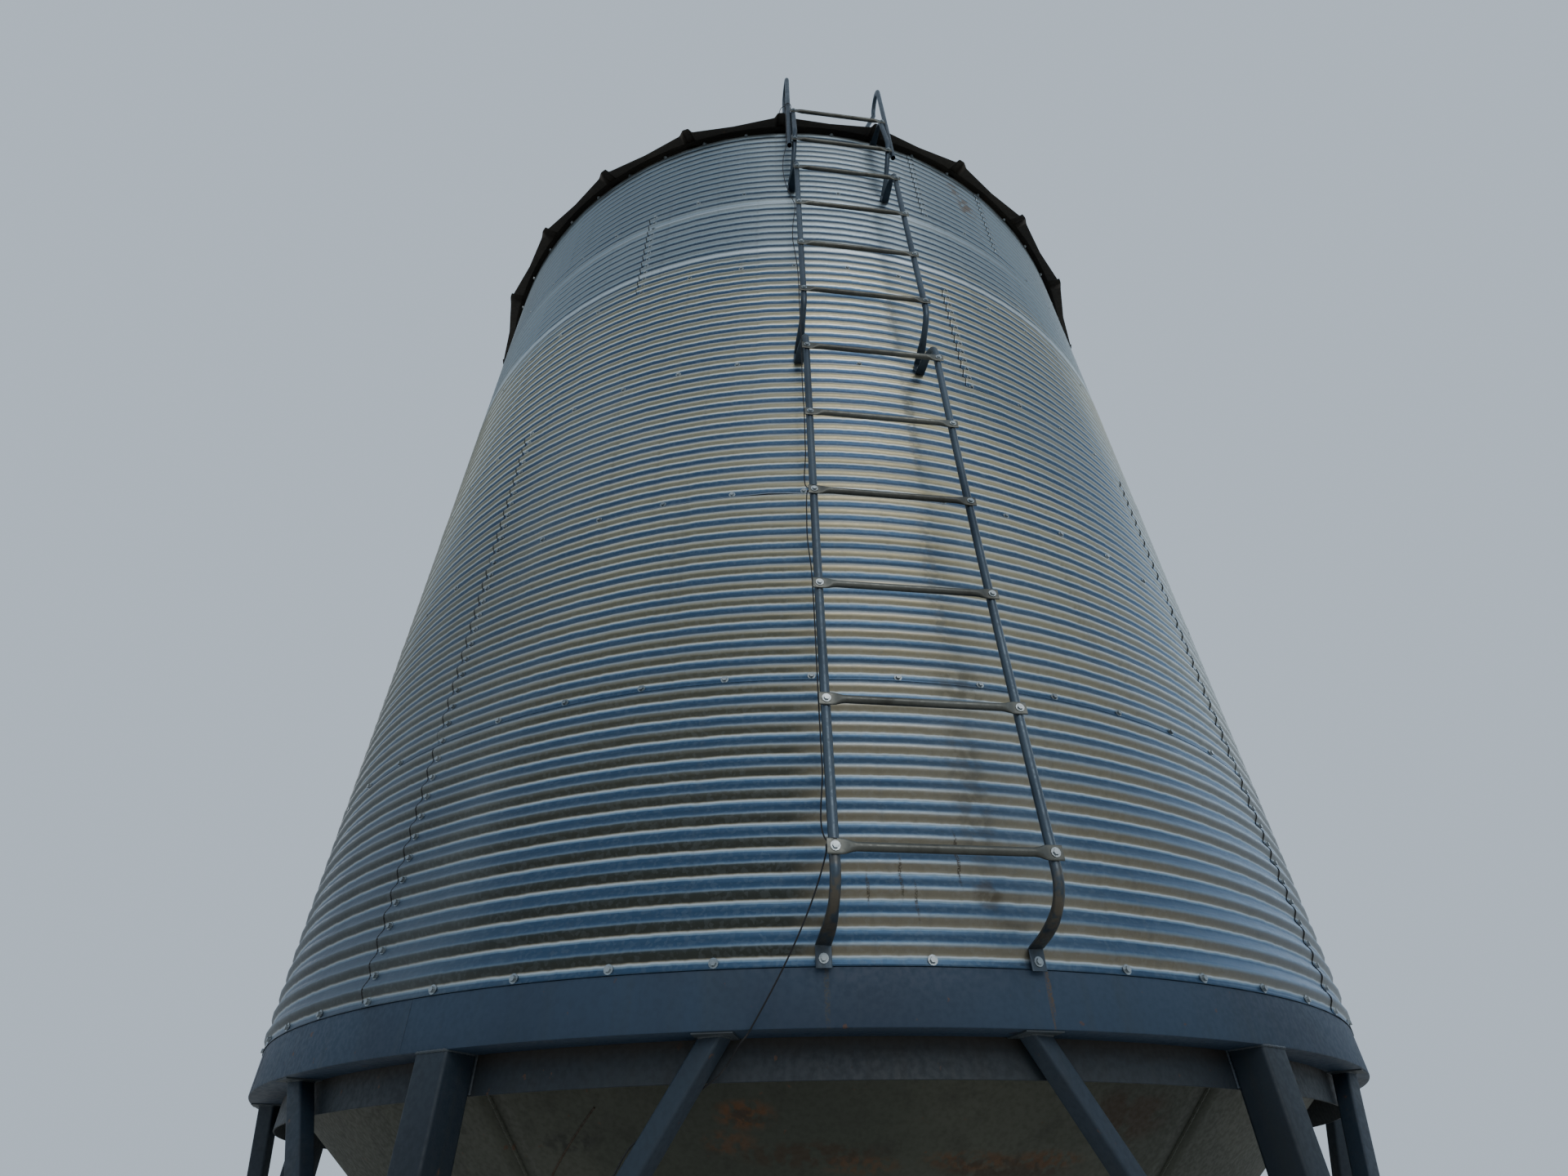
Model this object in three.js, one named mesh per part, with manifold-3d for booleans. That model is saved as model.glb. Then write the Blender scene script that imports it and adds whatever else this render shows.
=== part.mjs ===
// Grain silo: a corrugated steel bin with a ribbed cone roof, on a hopper cone and ring beam that six
// braced legs carry, with a bolted ladder up the front. Millimetres, +Z up, the ground at z = 0, the
// ladder on the -Y side. Angles go round the bin from the ladder, positive towards +X.

import * as THREE from 'three';
import { mergeVertices } from 'three/addons/utils/BufferGeometryUtils.js';
import Module from 'manifold-3d';

const wasm = await Module();
wasm.setup();

const DEGREE = Math.PI / 180;
const GAP = 0.3;
const WELD_DISTANCE = 1e-3;
const ROUND_STEPS = 72;
const BAR_SIDES = 8;

// Wall: rings of corrugated sheet with a bolt every 254 mm round the bin
const BOLT_SPACING = 254;
const BOLTS_ROUND = 52;
const WALL_RADIUS = BOLT_SPACING * BOLTS_ROUND / (2 * Math.PI);
const WALL_DEPTH = 13.9;
const WALL_BASE = 2000;
const RING_HEIGHT = 762;
const RING_COUNT = 6;
const SHEET_BELOW_BOLTS = 12.7;
const WALL_TOP = WALL_BASE + RING_COUNT * RING_HEIGHT;

// Ring beam under the wall, with the skirt that closes its inner side
const BEAM_RADIUS = WALL_RADIUS - 12;
const BEAM_TOP = WALL_BASE - 13;
const BEAM_BOTTOM = WALL_BASE - 137;
const BEAM_PLATE = 6;
const UPSTAND_HEIGHT = 45;
const SKIRT_RADIUS = 1988;
const SKIRT_PLATE = 5;
const SKIRT_BOTTOM = WALL_BASE - 222;

// Hopper cone, in gores that meet at the legs, and its outlet
const CONE_SLOPE = 40.2 * DEGREE;
const CONE_RADIUS_AT_SKIRT_BOTTOM = 1857;
const CONE_PLATE = 4;
const OUTLET_RADIUS = 200;
const COLLAR_HEIGHT = 70;
const COLLAR_PLATE = 4;
const COLLAR_FLANGE = 35;
const GATE_PLATE = 6;
const GATE_WIDTH = 440;
const GATE_LENGTH = 560;
const GATE_RAIL = 25;
const CUT_PAST_FACE = 1;

// Legs and braces: square tubes
const LEG_COUNT = 6;
const LEG_SIZE = 101.6;
const LEG_WALL = 4.8;
const FIRST_LEG_ANGLE = 26.5;
const FOOT_SIZE = 230;
const FOOT_PLATE = 12;
const BRACE_SIZE = 50.8;
const BRACE_WALL = 3.2;
const BRACE_RADIUS = 2031;
const BRACE_TOP_FROM_BAY_CENTRE = 10.33;
const BRACE_LEAN = 34.8 * DEGREE;
const BRACE_ROLL = 10.7 * DEGREE;

// Roof: panels with a raised rib at each joint, a peak collar and a lid
const ROOF_PANELS = 24;
const FIRST_RIB_ANGLE = -8.11;
const ROOF_SLOPE = 30 * DEGREE;
const ROOF_PLATE = 4;
const ROOF_CLEARANCE = 2.4;
const RIB_HEIGHT = 40;
const RIB_BASE_HALF = 40;
const RIB_TOP_HALF = 16;
const RIB_OVERHANG = 103;
const RIB_BASE_SETBACK = 12;
const PANEL_OVERHANG = 62;
const ROOF_TO_PEAK = 1.2;
const PEAK_RADIUS = 380;
const PEAK_HEIGHT = 110;
const PEAK_PLATE = 4;
const LID_OVERLAP = 25;
const LID_SLOPE = 15 * DEGREE;

// Ladder: tube rails that bend in to the wall at both ends of each section, and tube rungs on them
const RAIL_HALF_SPACING = 253.5;
const RAIL_RADIUS = 12.7;
const RUNG_RADIUS = 10.5;
const RUNG_HALF_LENGTH = 272;
const RUNG_AHEAD_OF_RAIL = 15;
const TAB_WIDTH = 38;
const TAB_HEIGHT = 66;
const TAB_PLATE = 5;
const TOP_BOLT_BELOW_EAVE = 31;
const BEND_RUN = 120;
const BEND_SOFTNESS = 15;
const RAIL_END_RUN = 25;
const RAIL_END_FROM_BOLT = 33;
const RAIL_END_IN_TAB = 2;
const RAIL_STEPS = 36;
const TAB_CENTRE_FROM_BOLT = 13;
const RUNG_SPACING = RING_HEIGHT / 2;
const LADDER_SECTIONS = [
  {
    name: 'ladder_lower', base: 0, top: 3, layer: 0,
    rise: 25, drop: 35, reach: [184, 164, 174], firstRung: 181,
  },
  {
    name: 'ladder_middle', base: 3, top: 5, layer: 1,
    rise: 45, drop: 30, reach: [178, 173, 170], firstRung: 190,
  },
  {
    name: 'ladder_top', base: 5, top: 6, layer: 1,
    rise: 150, drop: 60, reach: [177, 164, 152], firstRung: 190,
  },
];
const REACH_SAMPLES = 200;

// Grab rails: hairpin tubes beside the top of the ladder, the rear leg down on the roof
const GRAB_SIDE = 280.5;
const GRAB_REACH = 147;
const GRAB_WIDTH = 130;
const GRAB_FOOT = WALL_BASE + 3955;
const GRAB_TOP = WALL_BASE + 4872;
const GRAB_REAR_LEAN = { left: 0, right: 90 };
const GRAB_STEPS = 32;
const HALF_ROUND_HANDLE = 4 / 3;

// Lid rope: a black cord from the lid's rim down a rib, the left grab rail, the left ladder rail and the
// ring beam to a knot round a brace. Points are measured from the bin's axis.
const ROPE_RADIUS = 2;
const HITCH_RADIUS = 16.8;
const HITCH_DROP = 10;
const HITCH_STEPS = 8;
const ROPE_OVER_ROOF = [
  [-67.1, -400.1, 7664], [-68.3, -408.5, 7662], [-70, -420.3, 7650], [-72, -434.2, 7628],
  [-74.5, -452, 7600], [-78.2, -477.8, 7565], [-83.3, -513.4, 7535.1], [-193.3, -1285.6, 7084.8],
  [-306.1, -2077.6, 6622.9], [-320.8, -2180.6, 6564.5], [-321.8, -2187.5, 6558.5], [-322.1, -2189.8, 6547],
  [-320, -2212, 6522], [-310, -2236, 6497],
];
const GRAB_HITCH = [-280.5, -2249.1, 6480];
const ROPE_BESIDE_UPPER_LADDER = [
  [-297, -2249.1, 6440], [-297, -2249.1, 6010], [-300, -2250, 5930], [-316, -2254, 5780],
  [-320, -2259, 5600], [-306, -2265, 5430], [-282, -2270, 5300], [-271, -2271.9, 5238],
  [-284, -2273.1, 5050], [-288, -2274.2, 4900], [-280, -2275.1, 4780], [-273, -2276.2, 4650],
  [-272, -2277.9, 4476], [-272, -2276, 4290], [-271, -2273, 4086], [-274, -2269.1, 3900],
  [-271.5, -2266.1, 3705], [-273, -2264.4, 3520],
];
const FOURTH_RUNG_HITCH = [-253.5, -2265.7, 3343];
const ROPE_BESIDE_LOWER_LADDER = [
  [-279, -2263.7, 3200], [-279, -2264.2, 3120], [-272, -2265, 3010], [-270.5, -2265.6, 2943],
  [-270, -2268.3, 2750], [-270.5, -2272, 2562], [-270, -2276.6, 2380],
];
const FIRST_RUNG_HITCH = [-253.5, -2284.3, 2200];
const ROPE_TO_BRACE = [
  [-272, -2283, 2170], [-416.6, -2051.1, 1861.5], [-438.1, -2012.9, 1837.7], [-458.9, -1967, 1808.1],
  [-475.7, -1950.7, 1789.9], [-488.9, -1943.1, 1780.1], [-527, -1923.1, 1756.4], [-569.7, -1900.8, 1728.8],
  [-605.9, -1883, 1702.1], [-634.8, -1883.4, 1683.9], [-657, -1890.9, 1665.7], [-668.1, -1894.2, 1649.9],
  [-685.1, -1897.1, 1618.7], [-696.5, -1893.1, 1599], [-708, -1886.7, 1579.5],
];
const KNOT_FROM_BRACE_TOP = 375;
const KNOT_OUTWARD = 14;
const KNOT_RADIUS = 6.2;

const galvanised = new THREE.MeshStandardMaterial({ color: 0x9aa4ac, roughness: 0.45, metalness: 0.8 });
const bluePaint = new THREE.MeshStandardMaterial({ color: 0x44566c, roughness: 0.55, metalness: 0.2 });
const conePaint = new THREE.MeshStandardMaterial({ color: 0x6b675a, roughness: 0.7, metalness: 0.3 });
const blackCord = new THREE.MeshStandardMaterial({ color: 0x14161a, roughness: 0.9, metalness: 0 });

/** Point at an angle (degrees) round the bin, a radius and a height. */
function around(angle, radius, z) {
  return new THREE.Vector3(radius * Math.sin(angle * DEGREE), -radius * Math.cos(angle * DEGREE), z);
}

/** Closed ring turned about the vertical axis, from its [radius, z] corners in anticlockwise order. */
function turned(corners) {
  const profile = [...corners, corners[0]].map(([radius, z]) => new THREE.Vector2(radius, z));
  return new THREE.LatheGeometry(profile, ROUND_STEPS, FIRST_RIB_ANGLE * DEGREE).rotateX(Math.PI / 2);
}

/** Solid of a closed three.js geometry, for joining and cutting. */
function solid(geometry) {
  geometry.deleteAttribute('normal');
  geometry.deleteAttribute('uv');
  const merged = mergeVertices(geometry, WELD_DISTANCE);
  return new wasm.Manifold(new wasm.Mesh({
    numProp: 3,
    vertProperties: merged.attributes.position.array,
    triVerts: new Uint32Array(merged.index.array),
  }));
}

/** three.js geometry of a solid. */
function surface(body) {
  const mesh = body.getMesh();
  const geometry = new THREE.BufferGeometry();
  geometry.setAttribute('position', new THREE.BufferAttribute(mesh.vertProperties, 3));
  geometry.setIndex(new THREE.BufferAttribute(mesh.triVerts, 1));
  return geometry;
}

/** Rectangular outline centred on the origin. */
function rectangle(width, depth) {
  const shape = new THREE.Shape();
  shape.moveTo(-width / 2, -depth / 2);
  shape.lineTo(width / 2, -depth / 2);
  shape.lineTo(width / 2, depth / 2);
  shape.lineTo(-width / 2, depth / 2);
  shape.closePath();
  return shape;
}

/** Flat plate of an outline, from z = 0 up. */
function plate(shape, thickness) {
  const options = { depth: thickness, bevelEnabled: false, curveSegments: ROUND_STEPS / 4 };
  return new THREE.ExtrudeGeometry(shape, options);
}

/** Round bar along a path. */
function bar(path, radius, steps) {
  const corners = Array.from({ length: BAR_SIDES }, (_, side) => {
    const angle = 2 * Math.PI * (side + 0.5) / BAR_SIDES;
    return new THREE.Vector2(radius * Math.cos(angle), radius * Math.sin(angle));
  });
  const section = new THREE.Shape(corners);
  return new THREE.ExtrudeGeometry(section, { steps, extrudePath: path, bevelEnabled: false });
}

const silo = new THREE.Group();

/** Adds one named sub-part. */
function add(name, geometry, material) {
  const mesh = new THREE.Mesh(geometry, material);
  mesh.name = name;
  silo.add(mesh);
  return mesh;
}

// Wall rings, stacked from the ring beam to the eave
for (let ring = 0; ring < RING_COUNT; ring += 1) {
  const low = ring ? WALL_BASE + ring * RING_HEIGHT + GAP : WALL_BASE - SHEET_BELOW_BOLTS;
  const high = WALL_BASE + (ring + 1) * RING_HEIGHT;
  const inner = WALL_RADIUS - WALL_DEPTH;
  const corners = [[inner, low], [WALL_RADIUS, low], [WALL_RADIUS, high], [inner, high]];
  add(`wall_ring_${ring + 1}`, turned(corners), galvanised);
}

// Ring beam: a channel with its web outward, and an upstand that the bottom wall sheets bolt to
const beamInner = SKIRT_RADIUS + GAP;
const beamWeb = BEAM_RADIUS - BEAM_PLATE;
const upstandOuter = WALL_RADIUS - WALL_DEPTH - GAP;
add('ring_beam', turned([
  [beamInner, BEAM_BOTTOM],
  [BEAM_RADIUS, BEAM_BOTTOM],
  [BEAM_RADIUS, BEAM_TOP],
  [upstandOuter, BEAM_TOP],
  [upstandOuter, BEAM_TOP + UPSTAND_HEIGHT],
  [upstandOuter - BEAM_PLATE, BEAM_TOP + UPSTAND_HEIGHT],
  [upstandOuter - BEAM_PLATE, BEAM_TOP],
  [beamInner, BEAM_TOP],
  [beamInner, BEAM_TOP - BEAM_PLATE],
  [beamWeb, BEAM_TOP - BEAM_PLATE],
  [beamWeb, BEAM_BOTTOM + BEAM_PLATE],
  [beamInner, BEAM_BOTTOM + BEAM_PLATE],
]), bluePaint);

const skirtInner = SKIRT_RADIUS - SKIRT_PLATE;
add('hopper_skirt', turned([
  [skirtInner, SKIRT_BOTTOM],
  [SKIRT_RADIUS, SKIRT_BOTTOM],
  [SKIRT_RADIUS, BEAM_TOP],
  [skirtInner, BEAM_TOP],
]), bluePaint);

/** Height of the cone's outer face at a radius. */
function coneHeight(radius) {
  return SKIRT_BOTTOM + (radius - CONE_RADIUS_AT_SKIRT_BOTTOM) * Math.tan(CONE_SLOPE);
}
const coneTopRadius = skirtInner - GAP;
const coneRise = CONE_PLATE / Math.cos(CONE_SLOPE);
const cone = solid(turned([
  [OUTLET_RADIUS, coneHeight(OUTLET_RADIUS)],
  [coneTopRadius, coneHeight(coneTopRadius)],
  [coneTopRadius, coneHeight(coneTopRadius) + coneRise],
  [OUTLET_RADIUS, coneHeight(OUTLET_RADIUS) + coneRise],
]));
const goreSpread = 180 / LEG_COUNT;
for (let gore = 0; gore < LEG_COUNT; gore += 1) {
  const middle = FIRST_LEG_ANGLE + (2 * gore + 1) * goreSpread;
  const tip = around(middle, GAP / 2 / Math.sin(goreSpread * DEGREE), 0);
  const sides = [-1, 1].map((side) => around(middle + side * goreSpread, 2 * WALL_RADIUS, 0).add(tip));
  const outline = new THREE.Shape([tip, ...sides].map(({ x, y }) => new THREE.Vector2(x, y)));
  add(`cone_gore_${gore + 1}`, surface(cone.intersect(solid(plate(outline, BEAM_TOP)))), conePaint);
}

// Outlet: a short collar with a flange, and a flat gate that slides in a frame under it
const collarTop = coneHeight(OUTLET_RADIUS) - GAP;
const collarBottom = collarTop - COLLAR_HEIGHT;
add('outlet_collar', turned([
  [OUTLET_RADIUS - COLLAR_PLATE, collarBottom],
  [OUTLET_RADIUS + COLLAR_FLANGE, collarBottom],
  [OUTLET_RADIUS + COLLAR_FLANGE, collarBottom + COLLAR_PLATE],
  [OUTLET_RADIUS, collarBottom + COLLAR_PLATE],
  [OUTLET_RADIUS, collarTop],
  [OUTLET_RADIUS - COLLAR_PLATE, collarTop],
]), conePaint);

const gateTop = collarBottom - GAP;
const gateOffset = (GATE_LENGTH - GATE_WIDTH) / 2;
const gate = add('outlet_gate', plate(rectangle(GATE_WIDTH, GATE_LENGTH), GATE_PLATE), galvanised);
gate.position.set(0, -gateOffset, gateTop - GATE_PLATE);

const frameWidth = GATE_WIDTH + 2 * GATE_RAIL + 2 * GAP;
const railBlock = plate(rectangle(frameWidth, GATE_WIDTH), GATE_PLATE + GAP).translate(0, 0, GATE_PLATE);
const slotOutline = rectangle(GATE_WIDTH + 2 * GAP, GATE_WIDTH + CUT_PAST_FACE);
const slot = plate(slotOutline, 2 * GATE_PLATE).translate(0, 0, GATE_PLATE);
const frameRails = solid(railBlock).subtract(solid(slot));
const framePlate = rectangle(frameWidth, GATE_WIDTH);
framePlate.holes.push(new THREE.Path().absarc(0, 0, OUTLET_RADIUS, 0, 2 * Math.PI, true));
const frame = add('gate_frame', surface(frameRails.add(solid(plate(framePlate, GATE_PLATE)))), galvanised);
frame.position.set(0, 0, gateTop - 2 * GATE_PLATE - GAP);

// Legs: square tubes from a foot plate to the underside of the ring beam, flat against the skirt
const legRadius = SKIRT_RADIUS + GAP + LEG_SIZE / 2;
const legTop = BEAM_BOTTOM - GAP;
const legOutline = rectangle(LEG_SIZE, LEG_SIZE);
legOutline.holes.push(rectangle(LEG_SIZE - 2 * LEG_WALL, LEG_SIZE - 2 * LEG_WALL));
const legAngles = Array.from({ length: LEG_COUNT }, (_, leg) => FIRST_LEG_ANGLE + leg * 360 / LEG_COUNT);
legAngles.forEach((angle, index) => {
  const leg = add(`leg_${index + 1}`, plate(legOutline, legTop - FOOT_PLATE - GAP), bluePaint);
  leg.position.copy(around(angle, legRadius, FOOT_PLATE + GAP));
  leg.rotation.z = angle * DEGREE;
  const footPlate = plate(rectangle(FOOT_SIZE, FOOT_SIZE), FOOT_PLATE);
  const foot = add(`foot_plate_${index + 1}`, footPlate, bluePaint);
  foot.position.copy(around(angle, legRadius, 0));
  foot.rotation.z = angle * DEGREE;
});

/** Where a brace runs: its top, its three axes, and the face of the leg that it comes down to. */
function braceFrame(legAngle, side) {
  const bayCentre = legAngle + side * 180 / LEG_COUNT;
  const top = around(bayCentre - side * BRACE_TOP_FROM_BAY_CENTRE, BRACE_RADIUS, legTop);
  const sideways = around(legAngle + 90, 1, 0).multiplyScalar(side);
  const legFace = around(legAngle, BRACE_RADIUS, legTop).addScaledVector(sideways, LEG_SIZE / 2 + GAP);
  const run = legFace.clone().sub(top).setZ(0).normalize();
  const along = run.multiplyScalar(Math.sin(BRACE_LEAN)).setZ(-Math.cos(BRACE_LEAN));
  const level = new THREE.Vector3(-along.y, along.x, 0).normalize();
  const across = level.applyAxisAngle(along, side * BRACE_ROLL);
  const upward = new THREE.Vector3().crossVectors(along, across);
  return { top, along, across, upward, legFace, sideways };
}

/** Square tube along a brace's axes: each long edge ends at the beam's level and at the leg's face. */
function mitredTube({ top, along, across, upward, legFace, sideways }) {
  const corners = [[-1, -1], [1, -1], [1, 1], [-1, 1]];
  const loops = [BRACE_SIZE / 2, BRACE_SIZE / 2 - BRACE_WALL].map((half) => corners.map(([u, v]) => {
    const start = top.clone().addScaledVector(across, u * half).addScaledVector(upward, v * half);
    const toBeam = (top.z - start.z) / along.z;
    const toLeg = legFace.clone().sub(start).dot(sideways) / along.dot(sideways);
    return [toBeam, toLeg].map((distance) => start.clone().addScaledVector(along, distance));
  }));
  const positions = [];
  const quad = (a, b, c, d) => positions.push(...[a, b, c, a, c, d].flatMap((point) => point.toArray()));
  for (let corner = 0; corner < corners.length; corner += 1) {
    const next = (corner + 1) % corners.length;
    const [outer, inner] = loops;
    quad(outer[corner][0], outer[next][0], outer[next][1], outer[corner][1]);
    quad(inner[corner][1], inner[next][1], inner[next][0], inner[corner][0]);
    quad(outer[corner][1], outer[next][1], inner[next][1], inner[corner][1]);
    quad(inner[corner][0], inner[next][0], outer[next][0], outer[corner][0]);
  }
  const geometry = new THREE.BufferGeometry();
  geometry.setAttribute('position', new THREE.Float32BufferAttribute(positions, 3));
  return mergeVertices(geometry, WELD_DISTANCE);
}

// Braces: two in each bay, from the ring beam down and outwards to the side of each leg
legAngles.forEach((angle, index) => {
  for (const side of [-1, 1]) {
    const name = `brace_${index + 1}_${side < 0 ? 'left' : 'right'}`;
    add(name, mitredTube(braceFrame(angle, side)), bluePaint);
  }
});

// Roof: one sheet of panels from the peak collar to the eave, raised into a rib at each panel joint
const eaveHeight = WALL_TOP + ROOF_CLEARANCE + ROOF_PLATE;

/** Height of the panels' upper face at a radius. */
function panelHeight(radius) {
  return eaveHeight + (WALL_RADIUS - radius) * Math.tan(ROOF_SLOPE);
}

/** Roof sheet: columns of points run down the slope, five to a panel, and two rows give the two ends. */
function roofSheet() {
  const innerRadius = PEAK_RADIUS + ROOF_TO_PEAK;
  const columns = [];
  for (let panel = 0; panel < ROOF_PANELS; panel += 1) {
    const angle = (FIRST_RIB_ANGLE + panel * 360 / ROOF_PANELS) * DEGREE;
    const ribColumns = [
      [-RIB_BASE_HALF, 0, RIB_OVERHANG - RIB_BASE_SETBACK],
      [-RIB_TOP_HALF, RIB_HEIGHT, RIB_OVERHANG],
      [RIB_TOP_HALF, RIB_HEIGHT, RIB_OVERHANG],
      [RIB_BASE_HALF, 0, RIB_OVERHANG - RIB_BASE_SETBACK],
    ];
    for (const [offset, height, overhang] of ribColumns) {
      const ends = [innerRadius, WALL_RADIUS + overhang];
      columns.push(ends.map((radius) => [radius, angle + offset / radius, height]));
    }
    const middle = angle + Math.PI / ROOF_PANELS;
    columns.push([innerRadius, WALL_RADIUS + PANEL_OVERHANG].map((radius) => [radius, middle, 0]));
  }
  const positions = [];
  for (const drop of [0, ROOF_PLATE]) {
    for (const column of columns) {
      for (const [radius, angle, height] of column) {
        const z = panelHeight(radius) + height - drop;
        positions.push(radius * Math.sin(angle), -radius * Math.cos(angle), z);
      }
    }
  }
  const vertex = (layer, column, row) => (layer * columns.length + column % columns.length) * 2 + row;
  const index = [];
  const quad = (a, b, c, d) => index.push(a, b, c, a, c, d);
  for (let column = 0; column < columns.length; column += 1) {
    const next = column + 1;
    quad(vertex(0, column, 0), vertex(0, column, 1), vertex(0, next, 1), vertex(0, next, 0));
    quad(vertex(1, next, 0), vertex(1, next, 1), vertex(1, column, 1), vertex(1, column, 0));
    quad(vertex(0, column, 1), vertex(1, column, 1), vertex(1, next, 1), vertex(0, next, 1));
    quad(vertex(0, next, 0), vertex(1, next, 0), vertex(1, column, 0), vertex(0, column, 0));
  }
  const geometry = new THREE.BufferGeometry();
  geometry.setAttribute('position', new THREE.Float32BufferAttribute(positions, 3));
  geometry.setIndex(index);
  return geometry;
}
add('roof_sheet', roofSheet(), galvanised);

const peakBottom = panelHeight(PEAK_RADIUS) - RIB_HEIGHT;
const peakTop = panelHeight(PEAK_RADIUS) + PEAK_HEIGHT;
add('peak_collar', turned([
  [PEAK_RADIUS - PEAK_PLATE, peakBottom],
  [PEAK_RADIUS, peakBottom],
  [PEAK_RADIUS, peakTop],
  [PEAK_RADIUS - PEAK_PLATE, peakTop],
]), galvanised);

const lidRadius = PEAK_RADIUS + LID_OVERLAP;
const lidInner = lidRadius - PEAK_PLATE;
const lidUnderside = peakTop + GAP - (lidInner - PEAK_RADIUS) * Math.tan(LID_SLOPE);
const lidRise = lidInner * Math.tan(LID_SLOPE);
const lid = [
  [0, lidUnderside + lidRise],
  [lidInner, lidUnderside],
  [lidInner, lidUnderside - LID_OVERLAP],
  [lidRadius, lidUnderside - LID_OVERLAP],
  [lidRadius, lidUnderside + PEAK_PLATE],
  [0, lidUnderside + lidRise + PEAK_PLATE],
].map(([radius, z]) => new THREE.Vector2(radius, z));
const lidTurned = new THREE.LatheGeometry(lid, ROUND_STEPS, FIRST_RIB_ANGLE * DEGREE);
add('fill_lid', lidTurned.rotateX(Math.PI / 2), galvanised);

/** Point of the ladder: sideways from its middle, outwards from the wall's crest line, and up. */
function ladderPoint(sideways, outward, z) {
  return new THREE.Vector3(sideways, -(WALL_RADIUS + outward), z);
}

/** Path of a rail: out from its foot, up with a slight bow, and back in to its head. */
function railPath(sideways, section, footHeight, headHeight) {
  const wall = Math.sqrt(WALL_RADIUS ** 2 - RAIL_HALF_SPACING ** 2) - WALL_RADIUS;
  const footTab = wall + section.layer * (TAB_PLATE + GAP) + TAB_PLATE;
  const headTab = wall + TAB_PLATE;
  const [low, middle, high] = section.reach;
  const bow = 2 * middle - (low + high) / 2;
  const lowBend = footHeight + section.rise;
  const highBend = headHeight - section.drop;
  const at = (outward, z) => ladderPoint(sideways, outward, z);
  const path = new THREE.CurvePath();
  path.add(new THREE.CubicBezierCurve3(
    at(footTab - RAIL_END_IN_TAB, footHeight + RAIL_END_FROM_BOLT),
    at(footTab + RAIL_END_RUN, footHeight + RAIL_END_FROM_BOLT),
    at(low, lowBend + BEND_SOFTNESS),
    at(low, lowBend + BEND_RUN),
  ));
  path.add(new THREE.QuadraticBezierCurve3(
    at(low, lowBend + BEND_RUN),
    at(bow, (lowBend + highBend) / 2),
    at(high, highBend - BEND_RUN),
  ));
  path.add(new THREE.CubicBezierCurve3(
    at(high, highBend - BEND_RUN),
    at(high, highBend - BEND_SOFTNESS),
    at(headTab + RAIL_END_RUN, headHeight - RAIL_END_FROM_BOLT),
    at(headTab - RAIL_END_IN_TAB, headHeight - RAIL_END_FROM_BOLT),
  ));
  return path;
}

/** How far out a rail stands at a height. */
function reachAt(path, z) {
  const points = path.getSpacedPoints(REACH_SAMPLES);
  const nearest = points.reduce((a, b) => (Math.abs(b.z - z) < Math.abs(a.z - z) ? b : a));
  return -nearest.y - WALL_RADIUS;
}

/** Flat tab against the wall at a rail's end, one or two plates out from the sheet. */
function tab(side, z, layer) {
  const angle = side * Math.asin(RAIL_HALF_SPACING / WALL_RADIUS);
  const radius = WALL_RADIUS + GAP + layer * (TAB_PLATE + GAP) + TAB_PLATE / 2;
  return new THREE.BoxGeometry(TAB_WIDTH, TAB_PLATE, TAB_HEIGHT).rotateZ(angle)
    .translate(radius * Math.sin(angle), -radius * Math.cos(angle), z);
}

// Ladder sections: two rails, their tabs and the rungs in one welded and bolted frame each
for (const section of LADDER_SECTIONS) {
  const footHeight = WALL_BASE + section.base * RING_HEIGHT;
  const headDrop = section.top === RING_COUNT ? TOP_BOLT_BELOW_EAVE : 0;
  const headHeight = WALL_BASE + section.top * RING_HEIGHT - headDrop;
  const pieces = [];
  for (const side of [-1, 1]) {
    const path = railPath(side * RAIL_HALF_SPACING, section, footHeight, headHeight);
    pieces.push(bar(path, RAIL_RADIUS, RAIL_STEPS));
    pieces.push(tab(side, footHeight + TAB_CENTRE_FROM_BOLT, section.layer));
    pieces.push(tab(side, headHeight - TAB_CENTRE_FROM_BOLT, 0));
  }
  const rail = railPath(RAIL_HALF_SPACING, section, footHeight, headHeight);
  for (let z = footHeight + section.firstRung; z < headHeight; z += RUNG_SPACING) {
    const outward = reachAt(rail, z) + RUNG_AHEAD_OF_RAIL;
    const ends = [-1, 1].map((side) => ladderPoint(side * RUNG_HALF_LENGTH, outward, z));
    pieces.push(bar(new THREE.LineCurve3(...ends), RUNG_RADIUS, 1));
  }
  const welded = pieces.map(solid).reduce((whole, piece) => whole.add(piece));
  add(section.name, surface(welded), galvanised);
}

// Grab rails: up beside each rail, over, and down to the roof, the left one on a rib
for (const [name, side] of [['left', -1], ['right', 1]]) {
  const rear = GRAB_REACH - GRAB_WIDTH;
  const lean = GRAB_REAR_LEAN[name];
  const rearSide = side * (GRAB_SIDE - lean);
  const footRadius = Math.hypot(WALL_RADIUS + rear - RAIL_RADIUS, rearSide);
  const rearFoot = panelHeight(footRadius) + (lean ? 0 : RIB_HEIGHT) + 2 * GAP;
  const arcTop = GRAB_TOP + HALF_ROUND_HANDLE * GRAB_WIDTH / 2;
  const at = (outward, z) => ladderPoint(side * GRAB_SIDE, outward, z);
  const path = new THREE.CurvePath();
  path.add(new THREE.LineCurve3(at(GRAB_REACH, GRAB_FOOT), at(GRAB_REACH, GRAB_TOP)));
  path.add(new THREE.CubicBezierCurve3(
    at(GRAB_REACH, GRAB_TOP),
    at(GRAB_REACH, arcTop),
    at(rear, arcTop),
    at(rear, GRAB_TOP),
  ));
  path.add(new THREE.LineCurve3(at(rear, GRAB_TOP), ladderPoint(rearSide, rear, rearFoot)));
  add(`grab_rail_${name}`, bar(path, RAIL_RADIUS, GRAB_STEPS), galvanised);
}

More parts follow.
